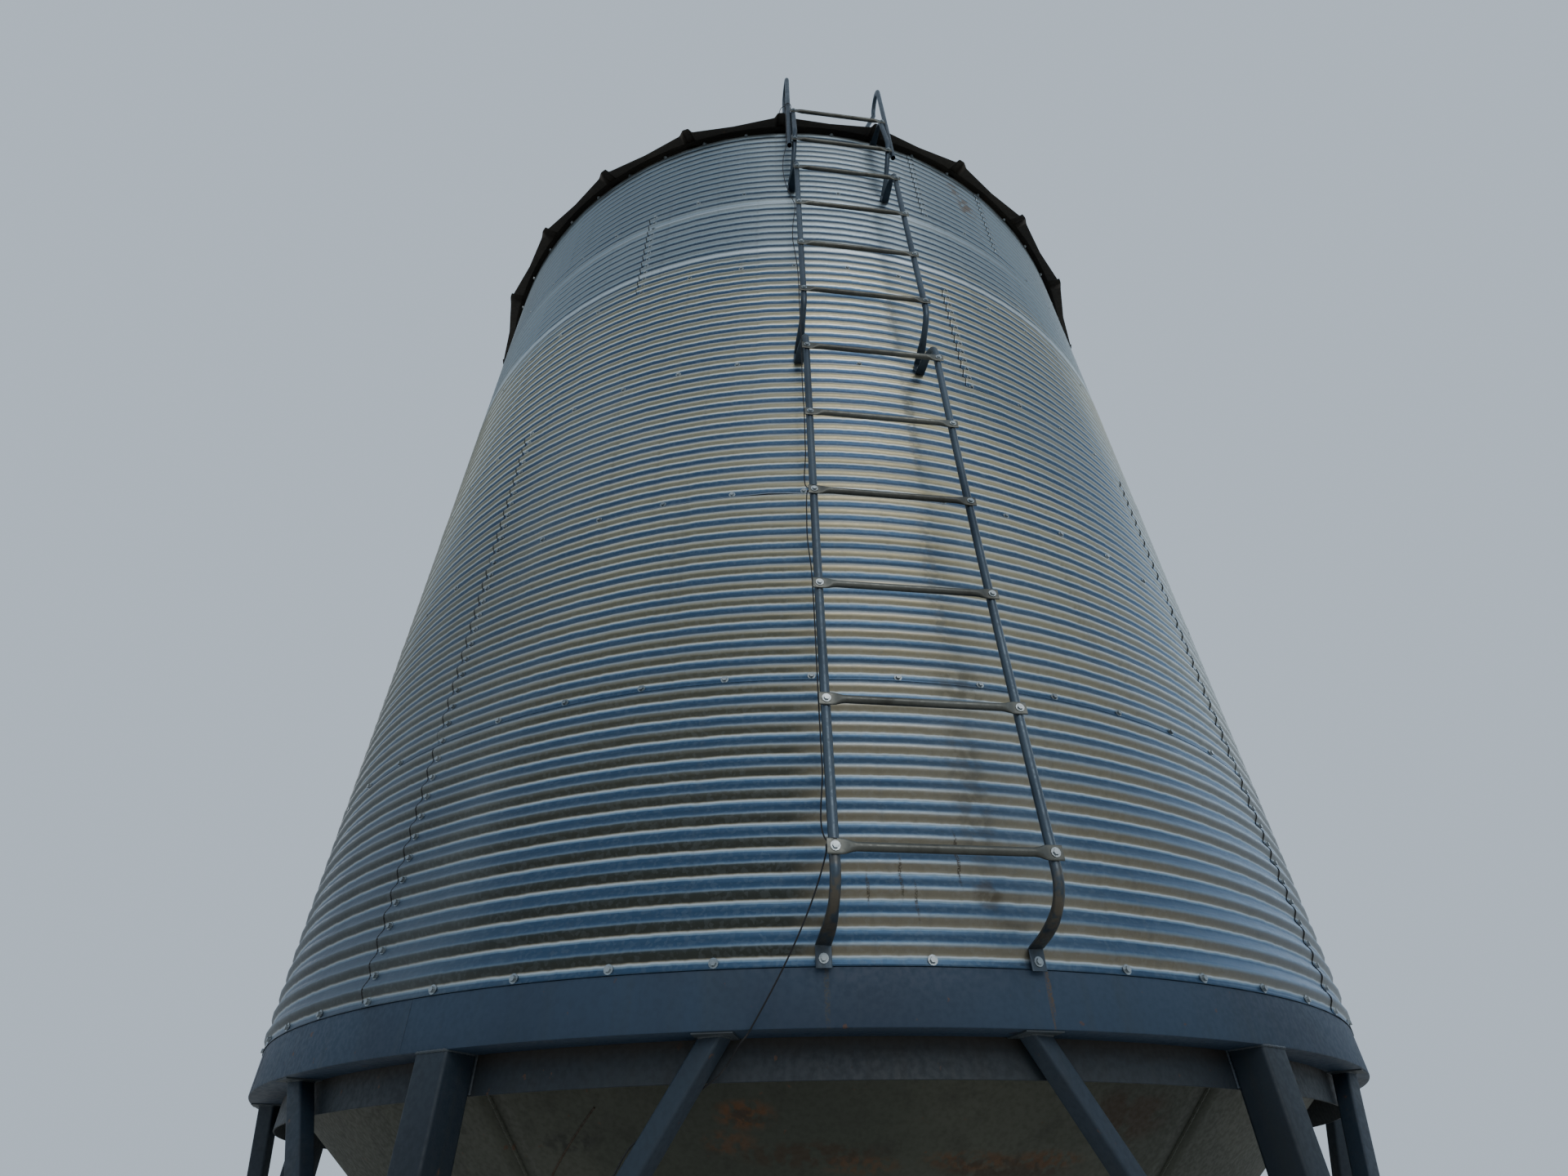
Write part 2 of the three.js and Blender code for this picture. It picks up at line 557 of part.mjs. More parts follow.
/** Path straight from each point of a list to the next. */
class PointPath extends THREE.Curve {
  constructor(points) {
    super();
    this.points = points.map((point) => new THREE.Vector3(...point));
  }

  getPoint(share) {
    const place = share * (this.points.length - 1);
    const before = Math.min(Math.floor(place), this.points.length - 2);
    return this.points[before].clone().lerp(this.points[before + 1], place - before);
  }

  getPointAt(share) {
    return this.getPoint(share);
  }

  /** Halfway between the directions before and after a point, so the tube's sides meet in a mitre. */
  getTangentAt(share) {
    const last = this.points.length - 1;
    const place = Math.round(share * last);
    const here = this.points[place];
    const arriving = here.clone().sub(this.points[Math.max(place - 1, 0)]).normalize();
    const leaving = this.points[Math.min(place + 1, last)].clone().sub(here).normalize();
    return arriving.add(leaving).normalize();
  }
}

/** One turn of the rope round an upright tube: from the tube's left, over its front and back behind it. */
function hitch([x, y, z]) {
  return Array.from({ length: HITCH_STEPS + 1 }, (_, step) => {
    const angle = 2 * Math.PI * step / HITCH_STEPS;
    const height = z - HITCH_DROP * step / HITCH_STEPS;
    return [x - HITCH_RADIUS * Math.cos(angle), y - HITCH_RADIUS * Math.sin(angle), height];
  });
}

// Lid rope, and the loop and knot that hold its lower end on the brace between the first two legs
const ropePoints = [
  ...ROPE_OVER_ROOF,
  ...hitch(GRAB_HITCH),
  ...ROPE_BESIDE_UPPER_LADDER,
  ...hitch(FOURTH_RUNG_HITCH),
  ...ROPE_BESIDE_LOWER_LADDER,
  ...hitch(FIRST_RUNG_HITCH),
  ...ROPE_TO_BRACE,
];
add('lid_rope', bar(new PointPath(ropePoints), ROPE_RADIUS, ropePoints.length - 1), blackCord);

const { top: braceTop, along, across, upward } = braceFrame(legAngles[LEG_COUNT - 1], 1);
const loopInside = BRACE_SIZE + 2 * GAP;
const loopOutline = rectangle(loopInside + 4 * ROPE_RADIUS, loopInside + 4 * ROPE_RADIUS);
loopOutline.holes.push(rectangle(loopInside, loopInside));
const loop = plate(loopOutline, 2 * ROPE_RADIUS).translate(0, 0, -ROPE_RADIUS);
const lump = new THREE.SphereGeometry(KNOT_RADIUS, BAR_SIDES, BAR_SIDES)
  .translate(KNOT_OUTWARD, loopInside / 2 + KNOT_RADIUS, 0);
const knotCentre = braceTop.clone().addScaledVector(along, KNOT_FROM_BRACE_TOP);
const knotPlace = new THREE.Matrix4().makeBasis(across, upward, along).setPosition(knotCentre);
add('rope_knot', surface(solid(loop).add(solid(lump))).applyMatrix4(knotPlace), blackCord);

// The origin is the middle of the whole footprint at ground level, so the bin's axis is a little behind it
const footprint = new THREE.Box3().setFromObject(silo).getCenter(new THREE.Vector3());
silo.position.set(-footprint.x, -footprint.y, 0);

export default silo;
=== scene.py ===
# Grain silo: a corrugated steel bin with a ribbed cone roof, on a braced hopper stand, with a bolted
# ladder up its front. Metres, +Z up, the ladder on the -Y side and the bin's upright axis a little
# behind the origin. Angles go round the bin from the ladder, positive towards +X.

import math

import bmesh
import bpy
import numpy as np
from mathutils import Matrix, Vector


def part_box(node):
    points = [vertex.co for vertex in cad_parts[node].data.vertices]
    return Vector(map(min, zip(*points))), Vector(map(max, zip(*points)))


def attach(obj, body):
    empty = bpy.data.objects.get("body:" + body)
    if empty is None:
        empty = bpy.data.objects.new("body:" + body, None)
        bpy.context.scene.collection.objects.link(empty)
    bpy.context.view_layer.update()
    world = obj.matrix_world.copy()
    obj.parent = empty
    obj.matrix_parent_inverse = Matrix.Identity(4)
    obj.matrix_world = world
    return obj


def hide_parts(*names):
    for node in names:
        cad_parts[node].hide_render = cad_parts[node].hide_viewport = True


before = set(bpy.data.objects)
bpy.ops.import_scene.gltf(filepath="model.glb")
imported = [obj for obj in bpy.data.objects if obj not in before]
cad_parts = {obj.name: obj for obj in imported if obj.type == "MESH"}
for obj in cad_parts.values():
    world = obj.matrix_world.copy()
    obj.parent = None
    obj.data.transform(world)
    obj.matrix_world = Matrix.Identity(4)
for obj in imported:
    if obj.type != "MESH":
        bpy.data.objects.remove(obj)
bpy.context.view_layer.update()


def add_object(name, data):
    """Object that shows a mesh, a lamp or a camera, linked into the scene."""
    made = bpy.data.objects.new(name, data)
    bpy.context.scene.collection.objects.link(made)
    return made


# Camera: a wide lens at head height, left of the ladder and tilted far up, so the legs run out of the
# picture and the grab rails come near its top.
EYE = (-0.5773, -3.9622, 1.557)
LENS = 17.8
HEADING = 7.53
TILT = 38.72
ROLL = -0.99
AXIS_Y = float(np.mean(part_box("wall_ring_1"), axis=0)[1])
camera = add_object("camera", bpy.data.cameras.new("camera"))
camera.data.lens = LENS
camera.data.sensor_width = 36
camera.data.clip_start = 0.05
heading_turn = Matrix.Rotation(math.radians(-HEADING), 4, "Z")
tilt_turn = Matrix.Rotation(math.radians(90 + TILT), 4, "X")
roll_turn = Matrix.Rotation(math.radians(ROLL), 4, "Z")
stand_point = Matrix.Translation((EYE[0], EYE[1] + AXIS_Y, EYE[2]))
camera.matrix_world = stand_point @ heading_turn @ tilt_turn @ roll_turn
bpy.context.scene.camera = camera


# Legs: six square steel tubes that stand on square foot plates and are welded under the ring beam and
# flat against the skirt. All of the stand is brushed with a dark blue-grey paint, now dusty.
LEG_COUNT = 6
BAY_ANGLE = 360 / LEG_COUNT
FIRST_LEG_ANGLE = 26.5
LEG_ANGLES = FIRST_LEG_ANGLE + BAY_ANGLE * np.arange(LEG_COUNT)
LEG_SIZE = 0.1016
LEG_WALL = 0.0048
LEG_CORNER = 0.010
SKIRT_RADIUS = 1.988
GAP = 0.0003
LEG_RADIUS = SKIRT_RADIUS + GAP + LEG_SIZE / 2
FOOT_TOP = 0.012
BEAM_BOTTOM = 1.863
BEAD_SIZE = 0.0034
BEAD_STEP = 0.003
STEPS_PER_RIPPLE = 3
MOUTH_SHARE = 0.84
SPECK_RUST = (84, 58, 40)
UP = np.array([0.0, 0.0, 1.0])


def around(angle, radius, height):
    """Points round the bin: x is the radius times the angle's sine, y is the axis less the radius
    times its cosine, and z is the height."""
    turn = np.radians(angle)
    x, y, z = np.broadcast_arrays(radius * np.sin(turn), AXIS_Y - radius * np.cos(turn), height)
    return np.stack([x, y, z], axis=-1)


def direction(angle):
    """Level direction straight out from the bin at an angle."""
    return around(angle, 1.0, 0.0) - around(angle, 0.0, 0.0)


def along_wall(angle):
    """Level direction round the bin at an angle: square to the way out, towards larger angles."""
    return np.cross(UP, direction(angle))


def unit(vectors):
    """Vectors divided by their lengths."""
    return vectors / np.linalg.norm(vectors, axis=-1, keepdims=True)


def travelled(path):
    """Length along a path from its start to each of its points."""
    return np.concatenate([[0], np.cumsum(np.linalg.norm(np.diff(path, axis=0), axis=1))])


def shell(points, close_rows=False, close_columns=True, cap_ends=False):
    """Skin over a grid of points: every point is joined with its neighbours in the next row and the
    next column. A closed way runs from its last line to its first, and a cap covers an end row."""
    rows, columns = points.shape[:2]
    row_starts = np.arange(rows if close_rows else rows - 1)
    column_starts = np.arange(columns if close_columns else columns - 1)
    row, column = np.meshgrid(row_starts, column_starts, indexing="ij")
    row_after, column_after = (row + 1) % rows, (column + 1) % columns
    corners = [(row, column), (row, column_after), (row_after, column_after), (row_after, column)]
    quads = np.stack([r * columns + c for r, c in corners], axis=-1).reshape(-1, 4)
    caps = []
    if cap_ends:
        last = (rows - 1) * columns
        caps = [list(range(columns))[::-1], list(range(last, last + columns))]
    return points.reshape(-1, 3), quads, caps


def steel_piece(name, shells, finish, nodes=(), sheet=False, crease=35):
    """Mesh of several skins, riding on the silo. A closed skin's faces are turned outwards."""
    mesh = bpy.data.meshes.new(name)
    starts = np.cumsum([0] + [len(points) for points, _, _ in shells])
    faces = []
    for start, (_, quads, caps) in zip(starts, shells):
        faces += (quads + start).tolist()
        faces += [[corner + int(start) for corner in cap] for cap in caps]
    mesh.from_pydata(np.concatenate([points for points, _, _ in shells]), [], faces)
    if not sheet:
        outward = bmesh.new()
        outward.from_mesh(mesh)
        bmesh.ops.recalc_face_normals(outward, faces=outward.faces)
        outward.to_mesh(mesh)
        outward.free()
    mesh.shade_smooth()
    mesh.set_sharp_from_angle(angle=math.radians(crease))
    mesh.materials.append(finish)
    piece = add_object(name, mesh)
    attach(piece, "root")
    if nodes:
        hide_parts(*nodes)
    return piece


def colour(red, green, blue):
    """Screen colour out of 255 as a shader colour: each part to the power 2.2."""
    return (*(float(part) for part in (np.array([red, green, blue]) / 255) ** 2.2), 1.0)


def join(node, inputs):
    """Each input of a shader node joined to a socket or set to a value."""
    for place, value in inputs.items():
        if isinstance(value, bpy.types.NodeSocket):
            node.id_data.links.new(value, node.inputs[place])
        else:
            node.inputs[place].default_value = value


def add_node(kind, inputs, **settings):
    """Shader node with its settings and inputs, in the node tree of the sockets it is joined to."""
    tree = next(value.id_data for value in inputs.values() if isinstance(value, bpy.types.NodeSocket))
    made = tree.nodes.new("ShaderNode" + kind)
    for setting, value in settings.items():
        setattr(made, setting, value)
    join(made, inputs)
    return made


def new_material(name):
    """Material, its surface shader, and the place that its patterns go by."""
    material = bpy.data.materials.new(name)
    material.use_nodes = True
    nodes = material.node_tree.nodes
    return material, nodes["Principled BSDF"], nodes.new("ShaderNodeTexCoord").outputs["Object"]


def grain(where, scale, detail, stretch=(1.0, 1.0, 1.0)):
    """Cloudy noise from 0 to 1 over a place, stretched along the axes."""
    stretched = add_node("Mapping", {"Vector": where, "Scale": stretch}).outputs[0]
    return add_node("TexNoise", {"Vector": stretched, "Scale": scale, "Detail": detail}).outputs[0]


def spangle(where, scale):
    """Random number from 0 to 1 for each zinc crystal, with scale crystals to a metre."""
    crystals = add_node("TexVoronoi", {"Vector": where, "Scale": scale}).outputs["Color"]
    return add_node("SeparateColor", {"Color": crystals}).outputs[0]


def share(value, low, high, most=1.0):
    """Share that rises smoothly from 0 at low to its most at high."""
    inputs = {"Value": value, "From Min": low, "From Max": high, "To Max": most}
    return add_node("MapRange", inputs, interpolation_type="SMOOTHSTEP").outputs[0]


def sum_of(first, second, operation="ADD"):
    """Two numbers added, or joined by another operation."""
    return add_node("Math", {0: first, 1: second}, operation=operation).outputs[0]


def product(first, second):
    """Two numbers multiplied."""
    return sum_of(first, second, "MULTIPLY")


def scaled(value, factor, added):
    """A number times a factor, with another number added."""
    return add_node("Math", {0: value, 1: factor, 2: added}, operation="MULTIPLY_ADD").outputs[0]


def over(cover, below, above):
    """Colour above laid over colour below by a share of cover. Each is a socket or a screen colour."""
    below, above = (colour(*tone) if isinstance(tone, tuple) else tone for tone in (below, above))
    return add_node("Mix", {0: cover, 6: below, 7: above}, data_type="RGBA").outputs[2]


def layered(shade, layers):
    """Colour with layers laid over it in turn, each a (cover, colour)."""
    for cover, tone in layers:
        shade = over(cover, shade, tone)
    return shade


def relief(height, strength, depth):
    """Surface direction bent by a height, to a strength and a depth in metres."""
    return add_node("Bump", {"Height": height, "Strength": strength, "Distance": depth}).outputs[0]


def stain(where, centre, turn, half_sizes):
    """Share of a stain: 1 inside an ellipsoid turned about the vertical, and 0 outside it."""
    turns = (0.0, 0.0, math.radians(turn))
    inputs = {"Vector": where, "Location": centre, "Rotation": turns, "Scale": half_sizes}
    inside = add_node("Mapping", inputs, vector_type="TEXTURE").outputs[0]
    distance = add_node("VectorMath", {0: inside}, operation="LENGTH").outputs["Value"]
    return sum_of(1.0, share(distance, 0.45, 1.05), "SUBTRACT")


def ragged(where, scale, amount):
    """Place moved about by noise, which gives a stain its ragged edge."""
    noise = add_node("TexNoise", {"Vector": where, "Scale": scale, "Detail": 7.0}).outputs["Color"]
    centred = add_node("VectorMath", {0: noise, 1: (0.5, 0.5, 0.5)}, operation="SUBTRACT").outputs[0]
    inputs = {0: centred, 1: (amount, amount, amount), 2: where}
    return add_node("VectorMath", inputs, operation="MULTIPLY_ADD").outputs[0]


def stained(where, shade, stains):
    """Colour with stains laid over it, each a (centre, turn, half sizes, colour, strength). The noises
    that fray a stain's edge and break it into patches go by its smallest half size."""
    for centre, turn, half_sizes, stain_colour, strength in stains:
        size = min(half_sizes)
        edge = ragged(where, 0.35 / size, 0.8 * size)
        patchy = share(grain(where, 1.6 / size, 8.0), 0.38, 0.56, strength)
        cover = product(stain(edge, centre, turn, half_sizes), patchy)
        shade = over(cover, shade, stain_colour)
    return shade


def painted_steel(name, fresh, faded, dirt, stains=(), rough=0.55, band=None):
    """Brushed paint: faded in broad patches, with long dirt runs, rust specks and the given stains,
    each a (centre, turn, half sizes, colour, strength). A band of dirt is a (height where it starts,
    height where it is full, colour, strength)."""
    material, shader, where = new_material(name)
    broad = grain(where, 1.7, 3.0)
    runs = grain(where, 1.0, 5.0, (17.0, 17.0, 0.9))
    fine = grain(where, 70.0, 6.0)
    specks = grain(where, 31.0, 8.0)
    layers = [
        (share(broad, 0.35, 0.65), faded),
        (share(runs, 0.5, 0.8, 0.45), dirt),
        (share(fine, 0.45, 0.75, 0.16), dirt),
        (share(specks, 0.69, 0.74, 0.7), SPECK_RUST),
    ]
    if band:
        start, full, band_colour, strength = band
        height = add_node("SeparateXYZ", {0: ragged(where, 14.0, 0.03)}).outputs[2]
        layers.append((share(height, start, full, strength), band_colour))
    join(shader, {
        "Base Color": stained(where, layered(fresh, layers), stains),
        "Roughness": sum_of(share(fine, 0.3, 0.7, 0.16), rough),
        "Normal": relief(sum_of(fine, runs), 0.12, 0.001),
    })
    return material


def rounded_square(size, corner):
    """Outline of a square with rounded corners: six points on a quarter circle at each corner."""
    quarter = np.radians(np.linspace(0, 90, 6))[None] + np.radians([[0], [90], [180], [270]])
    middles = (size / 2 - corner) * np.array([[1, 1], [-1, 1], [-1, -1], [1, -1]])
    arcs = corner * np.stack([np.cos(quarter), np.sin(quarter)], axis=-1)
    return (middles[:, None] + arcs).reshape(-1, 2)


def square_tube(start, axes, size, wall, corner, ends):
    """Square tube: each point of its outer and inner outline slides along the tube to where it meets
    the two end planes, each a (point, normal). Returns the skin and the two outer end loops."""
    along, across, upward = axes
    loops = []
    for side, bend in ((size, corner), (size - 2 * wall, corner - wall)):
        outline = rounded_square(side, bend)
        places = start + outline[:, :1] * across + outline[:, 1:] * upward
        for point, normal in ends:
            slide = ((point - places) @ normal) / (along @ normal)
            loops.append(places + slide[:, None] * along)
    outer_first, outer_last, inner_first, inner_last = loops
    skin = shell(np.stack([outer_first, outer_last, inner_last, inner_first]), close_rows=True)
    return skin, outer_first, outer_last


def evenly(path, step, closed=False):
    """Path at equal steps of its length: each coordinate is interpolated along the running length."""
    if closed:
        path = np.vstack([path, path[:1]])
    length = travelled(path)
    at = np.linspace(0, length[-1], max(int(round(length[-1] / step)), 2) + 1)
    even = np.stack([np.interp(at, length, path[:, axis]) for axis in range(3)], axis=1)
    return even[:-1] if closed else even


def carried(path, wide, half_width, half_depth, sides, boxy=2.0, closed=False, bore=0.0):
    """Section carried along a path: its width lies towards wide and its depth square to that and to the
    path, and each half size is multiplied by the power 2 / boxy of the cosine or sine of the turn, so 2
    gives a round bar and more gives a flat strip. A bore opens the first end to that depth."""
    steps = np.roll(path, -1, 0) - np.roll(path, 1, 0) if closed else np.gradient(path, axis=0)
    tangent = unit(steps)
    width_way = unit(wide - (tangent @ wide)[:, None] * tangent)
    depth_way = np.cross(tangent, width_way)
    turn = 2 * np.pi * (np.arange(sides) + 0.5) / sides
    power = 2 / np.broadcast_to(boxy, len(path))[:, None]
    width = np.sign(np.cos(turn)) * np.abs(np.cos(turn)) ** power
    depth = np.sign(np.sin(turn)) * np.abs(np.sin(turn)) ** power
    width = width * np.broadcast_to(half_width, len(path))[:, None]
    depth = depth * np.broadcast_to(half_depth, len(path))[:, None]
    points = path[:, None] + width[..., None] * width_way[:, None] + depth[..., None] * depth_way[:, None]
    if bore:
        mouth = path[0] + (points[0] - path[0]) * MOUTH_SHARE
        points = np.concatenate([[mouth + bore * tangent[0]], [mouth], points])
    return shell(points, close_rows=closed, cap_ends=not closed)


def weld_bead(path, wide, closed=True, size=BEAD_SIZE):
    """Weld bead along a path: a round bar whose size rises and falls by a sixth every 9 mm, and a little
    more unevenly."""
    even = evenly(path, BEAD_STEP, closed)
    step = np.arange(len(even))
    ripple = size * (1 + 0.16 * np.sin(2 * np.pi * step / STEPS_PER_RIPPLE) + 0.1 * np.cos(step))
    return carried(even, np.asarray(wide), ripple, ripple, sides=6, closed=closed)


def paint_solid(node, finish):
    """Look of a solid that is shown as it is."""
    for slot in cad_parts[node].material_slots:
        slot.link = "OBJECT"
        slot.material = finish


leg_paint = painted_steel("leg_paint", (21, 33, 43), (29, 42, 53), (36, 40, 41))
stand_welds = []
for number, angle in enumerate(LEG_ANGLES, 1):
    middle = around(angle, LEG_RADIUS, 1.0)
    foot_end = (around(angle, LEG_RADIUS, FOOT_TOP + GAP), UP)
    top_end = (around(angle, LEG_RADIUS, BEAM_BOTTOM - GAP), UP)
    axes = (UP, direction(angle), along_wall(angle))
    tube, foot_loop, top_loop = square_tube(
        middle, axes, LEG_SIZE, LEG_WALL, LEG_CORNER, (foot_end, top_end))
    steel_piece(f"leg_tube_{number}", [tube], leg_paint, [f"leg_{number}"])
    stand_welds += [weld_bead(foot_loop, UP), weld_bead(top_loop, UP)]
    paint_solid(f"foot_plate_{number}", leg_paint)


# Braces: square tubes, one to each side of every leg. Each is mitred, welded at its top to a small flat
# pad under the ring beam, and at its lower end to the side of the leg.
BRACE_SIZE = 0.0508
BRACE_WALL = 0.0032
BRACE_CORNER = 0.007
BRACE_RADIUS = 2.031
BRACE_TOP_FROM_BAY_CENTRE = 10.33
BRACE_TOP_ANGLE = BAY_ANGLE / 2 - BRACE_TOP_FROM_BAY_CENTRE
BRACE_LEAN = math.radians(34.8)
BRACE_ROLL = math.radians(10.7)
PAD_HALF_WIDTH = 0.047
PAD_INNER = SKIRT_RADIUS + GAP
PAD_OUTER = 2.084
PAD_THICKNESS = 0.003
brace_paint = painted_steel("brace_paint", (24, 36, 48), (34, 47, 59), (42, 44, 43))


def slab(outline, rise):
    """Flat plate: an outline of points and the same outline moved by the rise, closed by two caps."""
    return shell(np.stack([outline, outline + rise]), cap_ends=True)


def brace_axes(leg_angle, side):
    """Top of a brace, its three axes, the point where it meets the leg's face and the way off that face:
    it leans from upright by its lean towards the leg, and is rolled about its own length by its roll."""
    top = around(leg_angle + side * BRACE_TOP_ANGLE, BRACE_RADIUS, BEAM_BOTTOM - GAP)
    sideways = side * along_wall(leg_angle)
    leg_face = around(leg_angle, BRACE_RADIUS, BEAM_BOTTOM) + sideways * (LEG_SIZE / 2 + GAP)
    run = unit((leg_face - top) * [1, 1, 0])
    along = run * math.sin(BRACE_LEAN) - UP * math.cos(BRACE_LEAN)
    level = unit(np.cross(UP, along))
    square_up = np.cross(along, level)
    across = level * math.cos(side * BRACE_ROLL) + square_up * math.sin(side * BRACE_ROLL)
    return top, (along, across, np.cross(along, across)), leg_face, sideways


brace_pads = []
for number, angle in enumerate(LEG_ANGLES, 1):
    for side, side_name in ((-1, "left"), (1, "right")):
        top, axes, leg_face, sideways = brace_axes(angle, side)
        below_pad = top - UP * (PAD_THICKNESS + GAP)
        tube, top_loop, leg_loop = square_tube(
            top, axes, BRACE_SIZE, BRACE_WALL, BRACE_CORNER, ((below_pad, UP), (leg_face, sideways)))
        name = f"brace_{number}_{side_name}"
        steel_piece(f"{name}_tube", [tube], brace_paint, [name])
        stand_welds += [weld_bead(top_loop, UP), weld_bead(leg_loop, sideways)]
        pad_angle = angle + side * BRACE_TOP_ANGLE
        pad_way = along_wall(pad_angle) * PAD_HALF_WIDTH
        inner, outer = around(pad_angle, np.array([PAD_INNER, PAD_OUTER]), top[2] - PAD_THICKNESS)
        corners = np.stack([inner - pad_way, outer - pad_way, outer + pad_way, inner + pad_way])
        brace_pads.append(slab(corners, UP * PAD_THICKNESS))
pad_paint = painted_steel("pad_paint", (46, 56, 66), (58, 66, 72), (52, 48, 44))
steel_piece("brace_pads", brace_pads, pad_paint)


# Ring beam: a rolled steel channel, its web outwards, in lengths that are butt-welded end to end. Rust
# runs down it under both ladder feet, and dirt hangs about the right brace's pad.
BEAM_RADIUS = 2.0901
BEAM_TOP = 1.987
BEAM_PLATE = 0.006
BEAM_LOWER_CORNER = 0.004
BEAM_LOWER_CUT = 0.0012
BEAM_UPPER_CORNER = 0.0015
UPSTAND_OUTER = 2.0879
UPSTAND_TOP = 2.032
ROUND_STEPS = 208
BEAM_WELDS = (-63.2, -36.5, 116.8, 143.5)
BUTT_HALF_WIDTH = 0.0022
BUTT_HALF_DEPTH = 0.0009


def turned(profile, closed=True):
    """Profile of [radius, height] points carried round the bin's axis: closed on itself, or with its
    first and last rings capped."""
    radius, height = np.array(profile).T
    angles = np.arange(ROUND_STEPS) * 360 / ROUND_STEPS
    points = around(angles[None], radius[:, None], height[:, None])
    return shell(points, close_rows=closed, cap_ends=not closed)


def stain_at(angle, radius, height, half_sizes, stain_colour, strength):
    """Stain at a place round the bin, its half sizes given across, in depth and upwards."""
    centre = tuple(float(value) for value in around(angle, radius, height))
    return centre, angle, half_sizes, stain_colour, strength


RUST = (76, 62, 46)
ring_stains = [stain_at(*row) for row in (
    (7.62, 2.09, 1.95, (0.006, 0.03, 0.07), RUST, 0.85),
    (7.45, 2.09, 1.90, (0.004, 0.03, 0.09), RUST, 0.7),
    (-6.78, 2.09, 1.93, (0.008, 0.03, 0.10), (60, 58, 52), 0.6),
    (5.6, 2.04, 1.85, (0.03, 0.05, 0.03), (20, 18, 17), 0.9),
    *((weld_angle, 2.09, 1.925, (0.004, 0.03, 0.09), (36, 44, 54), 0.6) for weld_angle in BEAM_WELDS),
)]
beam_paint = painted_steel("beam_paint", (29, 45, 63), (38, 57, 77), (43, 54, 62), ring_stains)
beam_inner = SKIRT_RADIUS + GAP
beam_web = BEAM_RADIUS - BEAM_PLATE
upstand_inner = UPSTAND_OUTER - BEAM_PLATE
beam = turned([
    (beam_inner, BEAM_BOTTOM), (BEAM_RADIUS - BEAM_LOWER_CORNER, BEAM_BOTTOM),
    (BEAM_RADIUS - BEAM_LOWER_CUT, BEAM_BOTTOM + BEAM_LOWER_CUT),
    (BEAM_RADIUS, BEAM_BOTTOM + BEAM_LOWER_CORNER),
    (BEAM_RADIUS, BEAM_TOP - BEAM_UPPER_CORNER), (BEAM_RADIUS - BEAM_UPPER_CORNER, BEAM_TOP),
    (UPSTAND_OUTER, BEAM_TOP), (UPSTAND_OUTER, UPSTAND_TOP),
    (upstand_inner, UPSTAND_TOP), (upstand_inner, BEAM_TOP),
    (beam_inner, BEAM_TOP), (beam_inner, BEAM_TOP - BEAM_PLATE),
    (beam_web, BEAM_TOP - BEAM_PLATE), (beam_web, BEAM_BOTTOM + BEAM_PLATE),
    (beam_inner, BEAM_BOTTOM + BEAM_PLATE),
])
steel_piece("ring_channel", [beam], beam_paint, ["ring_beam"])
beam_heights = np.linspace(BEAM_BOTTOM + BEAM_LOWER_CORNER, BEAM_TOP - BEAM_LOWER_CORNER, 30)
beam_beads = []
for angle in BEAM_WELDS:
    joint = around(angle, BEAM_RADIUS, beam_heights)
    beam_beads.append(carried(joint, along_wall(angle), BUTT_HALF_WIDTH, BUTT_HALF_DEPTH, sides=6))
steel_piece("ring_butt_welds", beam_beads, beam_paint)


# Skirt: a plain rolled band inside the ring beam that closes the top of the hopper. Its top is brown
# with dirt that falls from the beam, and two small dark spots lie under the dirt.
SKIRT_PLATE = 0.005
SKIRT_CORNER = 0.001
SKIRT_BOTTOM = 1.778
SIDE_BEAD_INSET = 0.002
skirt_spots = [
    stain_at(angle, SKIRT_RADIUS, 1.8025, (0.0035, 0.02, 0.0035), (24, 24, 26), 1.0)
    for angle in (-6.81, -5.24)
]
skirt_paint = painted_steel("skirt_paint", (28, 37, 45), (36, 44, 50), (36, 36, 34),
                            skirt_spots, band=(1.815, 1.865, (42, 36, 29), 0.8))
skirt_inner = SKIRT_RADIUS - SKIRT_PLATE
skirt = turned([
    (skirt_inner, SKIRT_BOTTOM), (SKIRT_RADIUS - SKIRT_CORNER, SKIRT_BOTTOM),
    (SKIRT_RADIUS, SKIRT_BOTTOM + SKIRT_CORNER), (SKIRT_RADIUS, BEAM_TOP), (skirt_inner, BEAM_TOP),
])
steel_piece("skirt_band", [skirt], skirt_paint, ["hopper_skirt"])
for angle in LEG_ANGLES:
    for side in (-1, 1):
        edge_angle = angle + side * math.degrees(LEG_SIZE / 2 / SKIRT_RADIUS)
        seam_ends = np.array([SKIRT_BOTTOM + SIDE_BEAD_INSET, BEAM_BOTTOM])
        seam = around(edge_angle, SKIRT_RADIUS + SIDE_BEAD_INSET, seam_ends)
        stand_welds.append(weld_bead(seam, direction(angle), closed=False))
weld_paint = painted_steel("weld_paint", (46, 57, 69), (60, 67, 72), (54, 48, 41))
steel_piece("stand_welds", stand_welds, weld_paint)


# Hopper cone: six rolled steel gores, butt-welded along the slope and welded inside the skirt. The paint
# is a dull olive grey, and the front has a thin oblique weld mark, rust patches and a line of dirt.
CONE_SLOPE = math.radians(40.2)
CONE_RADIUS_AT_SKIRT_BOTTOM = 1.857
CONE_PLATE = 0.004
OUTLET_RADIUS = 0.2
CONE_TOP_RADIUS = SKIRT_RADIUS - SKIRT_PLATE - GAP
SEAM_BEAD = 0.0045
SEAM_END = 0.01
MARK_BEAD = 0.0028
MARK_ANGLES = (-24.5, -30.84)
MARK_RADII = (1.832, 1.684)
MARK_OUTWARD = -27.6


def cone_height(radius):
    """Height of the cone's outer face at a radius."""
    return SKIRT_BOTTOM + (radius - CONE_RADIUS_AT_SKIRT_BOTTOM) * math.tan(CONE_SLOPE)


